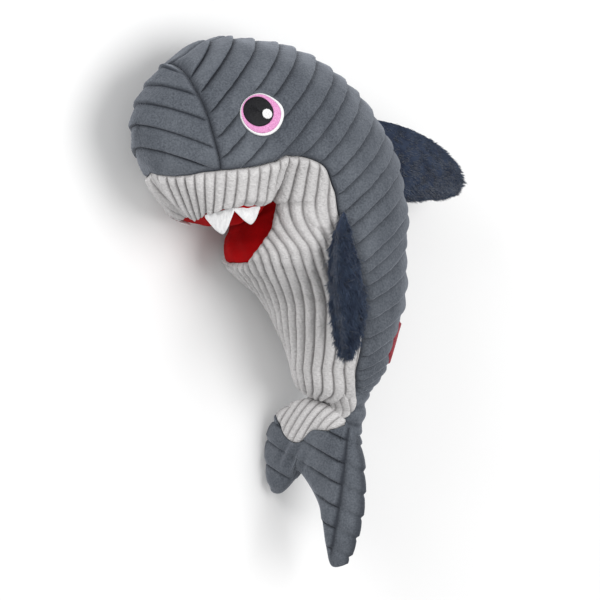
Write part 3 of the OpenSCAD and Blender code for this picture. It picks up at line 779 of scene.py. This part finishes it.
def mouth_lining(name, node, first, last):
    s0 = np.linspace(first + 0.02, last - 0.02, 90)
    share = np.linspace(0, 1, 81)
    s = np.broadcast_to(s0[:, None], (len(s0), len(share)))
    lip, far_lip = mouth_edge(s) - 1.2, right_lip(s) - 1.2
    angle = lip + (360 - lip - far_lip) * share
    folded = np.minimum(angle, 360 - angle)
    p = ring_point(s, angle)
    x, y, z = np.moveaxis(p, -1, 0)
    right = smooth((angle - 195) / 20)
    sink = 1.3 + palate_depth(s, folded) * right
    crumple = 0.5 * waves(p, 16, 31) + 0.7 * bell(y - 47 - 0.3 * z, 2.2) * (s < MOUTH_CORNER)
    out = outward(s, angle)
    outer = pressed(p - (sink - crumple)[..., None] * out, 0.6)
    inner = pressed(p - (sink - crumple + 1.0)[..., None] * out, 1.6)
    # Painted shade, darkest in the corner of the mouth.
    crease = 0.55 * bell(np.hypot(x - MOUTH[0], y - MOUTH[1]), 9)
    piece = shell("red_lining", name, outer, inner, marks={"crease": crease})
    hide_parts(node)


mouth_lining("tongue_cloth", "tongue_lining", MOUTH_ROWS[0], MOUTH_CORNER)
mouth_lining("palate_cloth", "palate_lining", MOUTH_CORNER, MOUTH_ROWS[1])

LIP_FRONT = np.array([-81, 51, 19.5])
LIP_NOTCH = np.array([-70, 55.7, 35.6])
LIP_BACK = np.array([-53, 57, 38.2])


def tooth(side, place, start, end, drop, tip, lean):
    """Soft felt triangle that hangs from the lip."""
    width = np.linalg.norm(end - start)
    along = unit(end - start)
    down = np.array([0.0, -1.0, 0.0])
    down = unit(down - (down @ along) * along)
    across = np.cross(along, down)
    turn = math.radians(lean)
    hang = down * math.cos(turn) + across * math.sin(turn)
    thick = np.cross(along, hang)
    base = start + (0.6 if side > 0 else 1.0) * down
    rows, cols = 26, 22
    v = np.linspace(-0.15, 1, rows + 1)[:, None]
    u = np.linspace(-1, 1, cols + 1)[None, :]
    rounded = np.sqrt(clamp01(1 - clamp01((v - 0.62) / 0.382) ** 2))
    half = (width / 2 + 0.1) * (1 - 0.78 * clamp01(v)) * rounded
    middle = width / 2 + (tip - width / 2) * clamp01(v) ** 1.3
    x = middle + u * np.maximum(half, 0.05)
    y = drop * v + 0 * u
    edge = np.sqrt(clamp01(1 - u ** 2) * clamp01(1 - clamp01(v) ** 6))
    bulge = 1.3 * edge + 0.05
    bow = 1.0 * np.sin(np.pi * clamp01(v)) * (1 if side > 0 else 0)
    flat = base + x[..., None] * along + y[..., None] * hang
    mid = flat - (bow + 0 * u)[..., None] * thick * 0.6
    fuzz = 0.1 * waves(mid, 2.5, 41)
    mirror = np.array([1, 1, side])
    front = (mid + (bulge + fuzz)[..., None] * thick) * mirror
    back = (mid - (bulge * 0.6)[..., None] * thick) * mirror
    name = f"{SIDE_NAME[side]}_{place}_tooth"
    piece = shell("white_felt", name + "_felt", front, back, body=name)
    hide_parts(name)


for side, lean in ((1, 0), (-1, 60)):
    tooth(side, "front", LIP_FRONT, LIP_NOTCH, drop=12.5, tip=9.2, lean=lean)
    tooth(side, "rear", LIP_NOTCH, LIP_BACK, drop=9.5, tip=10.5, lean=lean)

# ---- Embroidery ----


def eye_point(centre, radius, turn, lift, side):
    """Point on the embroidered eye, lifted off the fabric."""
    ps = (ring_point(EYE_S + 0.1, EYE_A) - ring_point(EYE_S - 0.1, EYE_A)) / 0.2
    pa = (ring_point(EYE_S, EYE_A + 1) - ring_point(EYE_S, EYE_A - 1)) / 2
    x = centre[0] + 1.07 * radius * np.cos(turn)
    y = centre[1] + 0.98 * radius * np.sin(turn)
    det = ps[0] * pa[1] - pa[0] * ps[1]
    s = EYE_S + (x * pa[1] - y * pa[0]) / det
    a = EYE_A + (y * ps[0] - x * ps[1]) / det
    p = ring_point(s, side * a) + lift[..., None] * outward(s, side * a)
    return on_table(p)


IRIS = ((-0.7, 0.5), 0.91 * EYE_R)
PUPIL = ((-2.4, 1.8), 0.7 * EYE_R)
GLINT = ((2.9, 0.2), 0.23 * EYE_R)


def satin(name, node, slot, big, small, side, base, crown, threads):
    """Satin-stitched ring, or a disc where small is None, with raised threads across it."""
    rows, cols = (16, 360) if small else (34, 220)
    turn = np.linspace(0, 2 * np.pi, cols, endpoint=False)[None, :]
    t = np.linspace(0, 1, rows + 1)[:, None]
    if small:
        inner_c, inner_r = np.array(small[0]), small[1]
        centre = inner_c[:, None, None] * (1 - t) + np.array(big[0])[:, None, None] * t
        radius = inner_r * (1 - t) + big[1] * t
        swell = (4 * t * (1 - t)) ** 0.45 + 0 * turn
        thread = np.cos(threads * turn + 5 * t)
    else:
        centre = np.array(big[0])[:, None, None] + 0 * t
        radius = big[1] * np.maximum(t, 0.002)
        swell = (1 - t ** 6) ** 0.5 + 0 * turn
        across = radius * np.sin(turn + 0.5)
        thread = np.cos(2 * np.pi * across / 0.75)
    edge = 0.12 * np.sin(turn * threads) * smooth((t - 0.9) / 0.1)
    lift = base + crown * swell + 0.11 * thread * clamp01(swell * 1.5)
    top = eye_point(centre, radius + edge, turn, lift, side)
    low = eye_point(centre, radius + edge, turn, np.full_like(lift, -0.9), side)
    # Painted shade in the troughs between the raised threads.
    crease = 0.5 * clamp01(-thread) * clamp01(swell)
    side_name = SIDE_NAME[side]
    piece = shell(slot, f"{side_name}_{name}", top, low, marks={"crease": crease}, loop=True)
    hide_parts(f"{side_name}_{node}")


for side in SIDE_NAME:
    satin("eye_border_stitch", "eye_border", "white_stitch", ((0, 0), EYE_R), IRIS, side, 1.0, 0.7, 96)
    satin("eye_iris_stitch", "eye_iris", "pink_stitch", IRIS, PUPIL, side, 1.1, 0.7, 84)
    satin("eye_pupil_stitch", "eye_pupil", "black_stitch", PUPIL, None, side, 1.2, 0.6, 60)
    satin("eye_glint_stitch", "eye_glint", "white_stitch", GLINT, None, side, 1.9, 0.6, 20)


def flank_patch():
    """Small plain embroidered patch near the back, with a raised border and no lettering."""
    u = np.linspace(-1, 1, 61)[:, None]
    v = np.linspace(-1, 1, 61)[None, :]
    x, y = u * np.sqrt(1 - v ** 2 / 3), v * np.sqrt(1 - u ** 2 / 3)
    s, a = 5.35 + 0.95 * x, 27 + 7 * y
    rim = np.maximum(np.abs(u), np.abs(v))
    thread = np.cos(2 * np.pi * 13 * (x + 0.25 * y))
    border = 0.5 * smooth((rim - 0.72) / 0.1) * smooth((1 - rim) / 0.1)
    lift = 1.3 + 1.1 * smooth((1 - rim) / 0.08) + border
    lift = lift + 0.1 * thread
    p, out = ring_point(s, a), outward(s, a)
    # Painted shade in the troughs between the threads.
    crease = 0.5 * clamp01(-thread)
    top, low = p + lift[..., None] * out, p - 0.8 * out
    piece = shell("red_stitch", "flank_patch_stitch", top, low, marks={"crease": crease})
    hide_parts("flank_patch")


flank_patch()

# ---- Fins ----


def bezier(a, b, c, t):
    a, b, c = (np.asarray(q, float) for q in (a, b, c))
    t = t[..., None]
    return (1 - t) ** 2 * a + 2 * t * (1 - t) * b + t ** 2 * c


def frame_of(start, root, span):
    root = unit(np.asarray(root, float))
    span = np.asarray(span, float)
    side = unit(span - (span @ root) * root)
    return np.asarray(start, float), root, side, np.cross(root, side)


BACK = np.array([55, 16, 0]) / np.hypot(55, 16)
DORSAL = (frame_of(np.array([69, 56, 0]) + 5.8 * BACK, [-16, 55, 0], [55, 16, 0]),
          [[[57.5, -2.6], [41, 32], [16, 44.5]], [[5, -1.6], [-2, 24], [-2, 40]], 5.5], 13)
LEFT_FIN = (frame_of([0.5, 55, 50.3], [17, -55, -3], [-0.9, 0, 0.43]),
            [[[0, 0], [14, 32], [73, 38]], [[58, 0], [76, 18], [82, 30]], 5], 10.5)
RIGHT_FIN = (frame_of([-1, 55, -REST_Z + RIGHT_FIN_THICK / 2], [21, -55, 0], [1, 0, 0]),
             [[[0, 0], [24, 26], [66, 34]], [[60, 0], [66, 14], [74, 26]], 4], RIGHT_FIN_THICK)


def leaf_point(fin, u, v, face, extra=0.0):
    """Point of a fin: u runs out from its root, v from its front to its rear edge."""
    (start, root, span, across), leaf, thick = fin
    front, back = bezier(*leaf[0], u), bezier(*leaf[1], u)
    ends = np.array(leaf[0][2]) + np.array(leaf[1][2]) - np.array(leaf[0][0]) - np.array(leaf[1][0])
    flat = front + (back - front) * v[..., None]
    flat = flat + unit(ends.astype(float)) * (leaf[2] * u ** 4 * (1 - (2 * v - 1) ** 2))[..., None]
    edge = np.sqrt(clamp01(1 - (2 * v - 1) ** 2))
    end = np.sqrt(clamp01(1 - u ** 3))
    half = np.maximum(0.3, thick / 2 * edge * end * (0.35 + 0.65 * clamp01(u / 0.3)))
    lift = face * (half + extra)
    return start + flat[..., :1] * root + flat[..., 1:] * span + lift[..., None] * across


def leaf_cover(fin, face, name, node, body, seed):
    """Backing of the fur, with the tufts as low waves."""
    u = np.linspace(0, 1, 61)[:, None] + np.zeros((1, 61))
    v = (1 - np.cos(np.linspace(0, np.pi, 61)))[None, :] / 2 + np.zeros((61, 1))
    mid = leaf_point(fin, u, v, face)
    rim = clamp01(np.minimum(np.minimum(v, 1 - v) * 6, (1 - u) * 6))
    tufts = (0.45 * waves(mid, 6, seed) + 0.25 * waves(mid, 2.5, seed + 1)) * rim
    outer = on_table(leaf_point(fin, u, v, face, tufts), 0.2)
    inner = on_table(leaf_point(fin, u, v, face, -0.9 * rim - 0.2), 0.2)
    piece = shell("navy_fur", name, outer, inner, body=body, marks={"tip": 0.12 + 0 * u})
    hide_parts(node)


def leaf_fill(fin, name, node, body):
    """Stuffing of a fin, a little inside its covers."""
    u = np.linspace(0.15, 0.8, 25)[:, None] + np.zeros((1, 25))
    v = np.linspace(0.15, 0.85, 25)[None, :] + np.zeros((25, 1))
    soft = -1.6 + 0.2 * waves(leaf_point(fin, u, v, 0.0), 9, 45)
    faces = (leaf_point(fin, u, v, face, soft) for face in (1, -1))
    piece = shell("stuffing", name, *faces, body=body)
    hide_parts(node)


def fur(fin, faces, name, body, count, length, lie, seed, tousled=1.0):
    """Strands of fur over a fin. Each is a thin three-sided blade of a few segments that leaves
    the backing at an angle and bends over to lie along lie."""
    rng = np.random.default_rng(seed)
    across = fin[0][3]
    face = rng.choice(faces, count)
    u = rng.uniform(0, 1, count) ** 0.8
    v = 0.5 - 0.5 * np.cos(np.pi * rng.uniform(0, 1, count))
    foot = leaf_point(fin, u, v, face)
    step = 0.02
    less, more = np.maximum(u - step, 0), np.minimum(u + step, 1)
    du = leaf_point(fin, more, v, face) - leaf_point(fin, less, v, face)
    less, more = np.maximum(v - step, 0), np.minimum(v + step, 1)
    dv = leaf_point(fin, u, more, face) - leaf_point(fin, u, less, face)
    normal = unit(np.cross(du, dv))
    normal = normal * np.sign((normal * (face[:, None] * across)).sum(-1, keepdims=True) + 1e-9)
    lie = unit(np.asarray(lie, float))
    clump = np.stack([waves(foot, 7, seed + 2 + k) for k in range(3)], -1)
    way = unit(lie + tousled * (0.42 * clump + 0.22 * rng.normal(size=(count, 3))))
    way = unit(way - 0.8 * np.minimum((way * normal).sum(-1, keepdims=True), 0) * normal)
    long = length * rng.uniform(0.65, 1.2, count)
    wide = rng.uniform(0.30, 0.55, count)
    segments = 4
    t = np.linspace(0, 1, segments + 1)
    rise = (0.55 + 0.12 * rng.normal(size=count))[:, None]
    along = long[:, None] * t[None, :]
    up = long[:, None] * rise * np.sin(t * 1.6)[None, :] * 0.55 - 0.4
    line = foot[:, None] + along[..., None] * way[:, None] + up[..., None] * normal[:, None]
    on_table(line, 0.5)
    side_way = unit(np.cross(way, normal))
    taper = wide[:, None] * (1 - t[None, :] ** 2.2) + 0.02
    points = np.stack([
        line + (x * taper)[..., None] * side_way[:, None] + (y * taper)[..., None] * normal[:, None]
        for x, y in ((-0.5, -0.29), (0.5, -0.29), (0.0, 0.58))], 2)
    base = (np.arange(count) * (segments + 1) * 3)[:, None, None, None]
    i = (np.arange(segments) * 3)[None, :, None, None]
    j = np.arange(3)[None, None, :, None]
    k = (j + 1) % 3
    quads = np.concatenate([i + j, i + k, i + 3 + k, i + 3 + j], -1)
    quads = (base + quads).reshape(-1, 4)
    first = base[:, 0, 0]
    last = first + segments * 3
    triangles = [quads[:, [0, 1, 2]], quads[:, [0, 2, 3]], first + [0, 2, 1], last + [0, 1, 2]]
    flat = on_table(points.reshape(-1, 3))
    bright = rng.uniform(0.5, 1.0, count)[:, None, None] * (t ** 1.3)[None, :, None] * np.ones((1, 1, 3))
    add_mesh("navy_fur", name, flat, np.concatenate(triangles), body, {"tip": bright})


def furry_fin(fin, name, body, faces, count, length, lie, seed, tousled=1.0):
    """Covers and fur of a fin. faces maps the names of its two faces to their directions."""
    for k, (place, face) in enumerate(faces.items()):
        leaf_cover(fin, face, f"{name}_{place}_fur_backing", f"{body}_{place}_cover", body, seed + 2 * k)
    fur(fin, [-1, 1], f"{name}_fur", body, count, length, lie, seed + 4, tousled)


furry_fin(DORSAL, "dorsal_fin", "dorsal_fin", {"left": -1, "right": 1},
          count=9000, length=3.0, lie=[0.9, -0.4, 0], seed=51, tousled=0.5)
leaf_fill(DORSAL, "dorsal_fin_stuffing", "dorsal_fin_fill", "dorsal_fin")
furry_fin(LEFT_FIN, "left_fin", "left_pectoral", {"upper": -1, "lower": 1},
          count=11000, length=5.0, lie=[0.05, -1.0, 0.1], seed=61)
leaf_fill(LEFT_FIN, "left_fin_stuffing", "left_pectoral_fill", "left_pectoral")
furry_fin(RIGHT_FIN, "right_fin", "right_pectoral", {"upper": 1, "lower": -1},
          count=5000, length=4.0, lie=[0.35, -0.95, 0], seed=71)

# ---- Tail ----

CREASE_GAP = 2.8
HINGE_Y = BODY_END - CREASE_GAP / 2
TAIL = frame_of([25, HINGE_Y, 0], [-0.301, -0.871, -0.388], [0.358, -0.476, 0.791])
TAIL_REAR = [
    [62, -23], [69, -14], [66, -6], [56, -2], [47.5, 0],
    [58, 24], [78, 43], [86, 52], [79, 61]]
TAIL_THICK = 20
TAIL_TUCKS = np.array([-12, 1.5, 14.5, 28, 40.5, 54, 66.5, 79, 92.0])
# Height over one tuck, from its edge back to the next line
TAIL_TUCK_SHAPE = np.array([
    [0, -0.4], [0.03, 0.7], [0.08, 1], [0.16, 0.95], [0.3, 0.75],
    [0.6, 0.33], [0.88, -0.05], [0.96, -0.3], [1, -0.4]])
PATCH_GAP = 0.003
# Share of the tail's length below which the cord patch is left out
SHORTEST = 0.04


def tail_tuck(flat):
    """Share of the way across the tuck that a flat point of the tail lies in, and its pitch."""
    a = flat[..., 0] + 0.06 * flat[..., 1]
    k = np.clip(np.searchsorted(TAIL_TUCKS, a.ravel()).reshape(a.shape) - 1, 0, len(TAIL_TUCKS) - 2)
    pitch = TAIL_TUCKS[k + 1] - TAIL_TUCKS[k]
    return clamp01((a - TAIL_TUCKS[k]) / pitch), pitch


def tail_flat(u, v):
    rear = curve(TAIL_REAR, 4 + 4 * v)
    root = np.stack([CREASE_GAP / 2 + 10 * (1 - np.sqrt(1 - 0.9 * v * v)), 23 * v + 2], -1)
    bow = 4 * u * (1 - u) * np.abs(v) ** 3
    flat = root + (rear - root) * u[..., None] + np.stack([-2.5 * bow, np.where(v > 0, 8, -12) * bow], -1)
    # The tucks make scallops of the outline
    part, _ = tail_tuck(flat)
    bulge = np.interp(part, [0, 0.12, 0.45, 0.8, 1], [-0.9, 0.2, 0.9, 1.1, -0.9])
    flat[..., 1] += np.sign(v) * bulge * smooth((np.abs(v) - 0.45) / 0.5) * smooth(u / 0.15)
    return flat


def tail_half(u, v):
    edge = np.sqrt(clamp01(1 - np.abs(v) ** 3))
    end = np.sqrt(clamp01(1 - u ** 4))
    root = np.sqrt(clamp01(1 - (1 - clamp01((u + 0.03) / 0.28)) ** 2))
    return np.maximum(0.3, TAIL_THICK / 2 * edge * end * root * (1 - 0.25 * u))


def tail_point(u, v, lift):
    q = tail_flat(u, v)
    curl = np.where(v < 0, 8 * v * u * u, 0)
    start, along, wide, across = TAIL
    return start + q[..., :1] * along + q[..., 1:] * wide + (lift + curl)[..., None] * across


def patch_edge(v):
    return soft_lookup([
        [-1, 0.36], [-0.7, 0.46], [-0.35, 0.5], [0, 0.38],
        [0.25, 0.2], [0.5, 0.06], [0.65, 0.02], [1, 0.02]], v, 0.1)


def tail_panel(slot, name, node, face, first, last, rows, ribs, least=0.0):
    """Fabric on one face of the tail, from the share first(v) to last(v) of its length."""
    cols = 170
    v = np.sin(np.linspace(-1, 1, cols + 1) * np.pi / 2 * 0.98)[None, :]
    v = v / np.abs(v).max() + np.zeros((rows + 1, 1))
    t = np.linspace(0, 1, rows + 1)[:, None]
    u = first(v) + (last(v) - first(v)) * t
    flat = tail_flat(u, v)
    half = tail_half(u, v)
    p = tail_point(u, v, face * half)
    near_edge = (1 - np.abs(v)) * np.interp(u, [0, 1], [22, 16])
    near_end = (1 - u) * 30
    rim = smooth(np.minimum(near_edge / 2.5, near_end / 3.0))
    lift, crease = ribs(flat, v, t, p, face > 0)
    lift = lift + pinch(near_edge, 1.3, 0.5) * (half > 1)
    top = on_table(tail_point(u, v, face * (half + lift * rim)))
    low = on_table(tail_point(u, v, face * np.maximum(half - PANEL, 0.05)))
    # Painted shade in the tuck creases and in the seams along the panel's edges.
    crease = np.maximum(crease * rim, 0.7 * bell(near_edge, 1.2))
    length = (last(v) - first(v))[0]
    keep = np.broadcast_to(np.minimum(length[1:], length[:-1]) > least, (rows, cols))
    piece = shell(slot, name, top, low, body="tail", marks={"crease": crease}, keep=keep)
    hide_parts(node)


def tail_tucks(flat, v, t, p, under):
    part, _ = tail_tuck(flat)
    # The edges face the tips, so each tuck is highest just before the next line
    back = 1 - part
    height = np.interp(back, *TAIL_TUCK_SHAPE.T)
    # Painted shade at each tuck's crease, and below in the seam on the under side.
    dark = np.interp(back, [0, 0.04, 0.85, 0.95, 1], [1, 0, 0, 0.6, 1])
    tall = 1.9 * (1 + 0.2 * waves(p, 22, 81))
    fork = bell(np.hypot(flat[..., 0] - 40, flat[..., 1] + 3), 14)
    tall = tall * (1 - 0.7 * fork)
    pleats = fork * 1.3 * np.sin(flat[..., 1] * 0.75 + 0.05 * flat[..., 0])
    lift = height * tall + pleats + 0.4 * waves(p, 14, 82)
    # The back panel wraps round the left edge, up to a seam on the under side
    inside = (1 - v) * 19 - 5.5
    wrapped = smooth(0.5 - inside / 1.5) * under
    puff = 1.2 * np.sin(np.pi * part) ** 0.7 - 0.2
    lift = lift * (1 - wrapped) + puff * wrapped - 1.2 * bell(inside, 1.2) * under
    dark = dark * (1 - fork) * (1 - 0.8 * wrapped)
    return lift, np.maximum(dark, 0.85 * bell(inside, 0.9) * under)


def tail_cord(flat, v, t, p, under):
    a, b = flat[..., 0], flat[..., 1]
    # The returned darkness is painted shade in the rib valleys.
    height, dark = cord_lift((b + 0.16 * a + 0.004 * a * b) / 5.8, 1.9)
    ends = np.sqrt(clamp01(1 - (1 - clamp01(np.minimum((1 - t) * 6, 3) / 1.2)) ** 2))
    return (height + 1.4) * ends - 0.4, dark * 0.7


def tail_root(v):
    return 0 * v


def tail_tip(v):
    return 1 + 0 * v


def patch_end(v):
    return patch_edge(v) - PATCH_GAP


def under_start(v):
    return np.where(patch_edge(v) > SHORTEST, patch_edge(v) + PATCH_GAP, 0.0)


tail_panel("grey_plush", "tail_back_plush", "tail_back_panel", -1,
           tail_root, tail_tip, rows=150, ribs=tail_tucks)
tail_panel("grey_plush", "tail_under_plush", "tail_under_panel", 1,
           under_start, tail_tip, rows=110, ribs=tail_tucks)
tail_panel("light_cord", "tail_white_cord", "tail_white_patch", 1,
           tail_root, patch_end, rows=60, ribs=tail_cord, least=SHORTEST)

# ---- Tail sleeve: plush and cord that run on over the crease, bent round from the body into the tail ----


def sleeve_part(name, slot, first, last, ribbed):
    """The part of the sleeve between two angles, first(t) and last(t), round its length t."""
    t = np.linspace(0, 1, 61)[:, None]
    a = np.radians(first(t) + (last(t) - first(t)) * np.linspace(0, 1, 81)[None, :])
    start_mid = np.array([26, -50, 0.0])
    hinge = np.array([27, HINGE_Y, 0.0])
    end_mid = tail_point(np.array([0.3]), np.array([0.08]), np.array([0.0]))[0]
    mid = bezier(start_mid, hinge, end_mid, t)
    _, _, wide, across = TAIL
    bent = smooth(t)[..., None]
    way_x = unit((1 - bent) * np.array([1.0, 0, 0]) - bent * across)
    way_z = unit((1 - bent) * np.array([0, 0, 1.0]) + bent * wide)
    depth_back = np.interp(t, [0, 0.25, 0.5, 0.75, 1], [22.5, 21, 18.5, 13, 8.2])
    depth_belly = np.interp(t, [0, 0.3, 0.5, 0.7, 1], [20, 9.5, 4.5, 6, 6.6])
    half_wide = np.interp(t, [0, 0.25, 0.5, 0.75, 1], [22, 20.5, 21, 23, 20])
    deep = np.where(np.cos(a) > 0, depth_back, depth_belly) * np.cos(a)
    side = half_wide * np.sin(a)
    out = deep[..., None] * way_x + side[..., None] * way_z
    p = mid + out
    out = unit(out)
    fade = smooth(t / 0.2) * smooth((1 - t) / 0.2)
    # The crease mark is painted shade: in the rib valleys of the cord, and in the troughs of the plush
    # folds.
    if ribbed:
        height, dark = cord_lift((side + 4.8 * t) / 5.8 + 0.5, 1.7)
        lift, crease = height * fade + 0.4, dark * 0.7
    else:
        fold = np.sin(2 * np.pi * (t * 4.2 + 0.12 * np.cos(a)))
        lift = (0.9 * fold + 0.6 * waves(p, 13, 91)) * fade
        crease = clamp01(-fold) ** 3 * fade * 0.5
    top, low = on_table(p + lift[..., None] * out), on_table(p - PANEL * out)
    piece = shell(slot, name, top, low, body=None, marks={"crease": crease})
    tidy(piece)
    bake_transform(piece)


def sleeve_seam(t):
    return 90 + 60 * smooth((t - 0.3) / 0.4)


sleeve_part("tail_crease_plush", "grey_plush", lambda t: -90 + 0 * t, sleeve_seam, False)
sleeve_part("tail_crease_cord", "light_cord", sleeve_seam, lambda t: 270 + 0 * t, True)

# ---- CAD nodes that stay, inside the shark ----

SLOT_OF_NODE = {
    "head_fill": "stuffing", "body_fill": "stuffing",
    "right_pectoral_fill": "stuffing", "tail_fill": "stuffing",
    "squeaker_bladder": "squeaker_plastic", "squeaker_reed": "squeaker_plastic"}
for node, slot in SLOT_OF_NODE.items():
    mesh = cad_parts[node].data
    mesh.materials.clear()
    mesh.materials.append(MATERIALS[slot])

# ---- Floor, light and camera ----


def studio():
    bpy.ops.mesh.primitive_plane_add(size=8, location=(0, 0, -0.0004))
    floor = bpy.context.object
    floor.name = "floor"
    n = Nodes("pale_floor", Roughness=0.9, Specular_IOR_Level=0.1)
    n.colour(n.ramp(n.noise(3, 2), [(0.3, (0.8, 0.8, 0.8)), (0.7, (0.82, 0.82, 0.82))]))
    floor.data.materials.append(n.material)
    world = bpy.data.worlds.new("studio")
    bpy.context.scene.world = world
    world.use_nodes = True
    world.node_tree.nodes["Background"].inputs["Color"].default_value = (1, 1, 1, 1)
    world.node_tree.nodes["Background"].inputs["Strength"].default_value = 0.62


def lamp(name, towards, distance, size, power):
    data = bpy.data.lights.new(name, "AREA")
    data.shape = "DISK"
    data.size = size
    data.energy = power
    lamp_object = bpy.data.objects.new(name, data)
    bpy.context.scene.collection.objects.link(lamp_object)
    towards = unit(np.array(towards, float))
    lamp_object.location = MIDDLE + towards * distance
    aim_at(lamp_object, towards, np.array([0.0, 1.0, 0.0]))


def aim_at(thing, back, up):
    """Turns a lamp or the camera so that its back points along back."""
    right = unit(np.cross(up, back))
    up = np.cross(back, right)
    thing.rotation_mode = "QUATERNION"
    thing.rotation_quaternion = Matrix(np.stack([right, up, back], 1).tolist()).to_quaternion()


studio()
bpy.context.scene.view_settings.view_transform = "Standard"
MIDDLE = row([0, 0, 0])
VIEW_TILT = math.radians(32)
TO_CAMERA = np.array([-math.sin(VIEW_TILT), 0, math.cos(VIEW_TILT)])
TO_RIGHT = np.array([math.cos(VIEW_TILT), 0, math.sin(VIEW_TILT)])
TO_HEAD = np.array([0.0, 1.0, 0.0])
lamp("key_light", 0.9 * TO_CAMERA - 0.55 * TO_RIGHT + 0.65 * TO_HEAD,
     distance=1.6, size=0.9, power=11)
lamp("fill_light", 0.9 * TO_CAMERA + 0.9 * TO_RIGHT + 0.1 * TO_HEAD,
     distance=1.8, size=1.2, power=22)

CAMERA_DISTANCE = 9.0
FRAME_WIDTH = 0.372
camera_data = bpy.data.cameras.new("camera")
camera_data.sensor_width = 36
camera_data.lens = 36 * CAMERA_DISTANCE / FRAME_WIDTH
camera = bpy.data.objects.new("camera", camera_data)
bpy.context.scene.collection.objects.link(camera)
camera.location = MIDDLE + TO_CAMERA * CAMERA_DISTANCE
aim_at(camera, TO_CAMERA, TO_HEAD)
bpy.context.scene.camera = camera
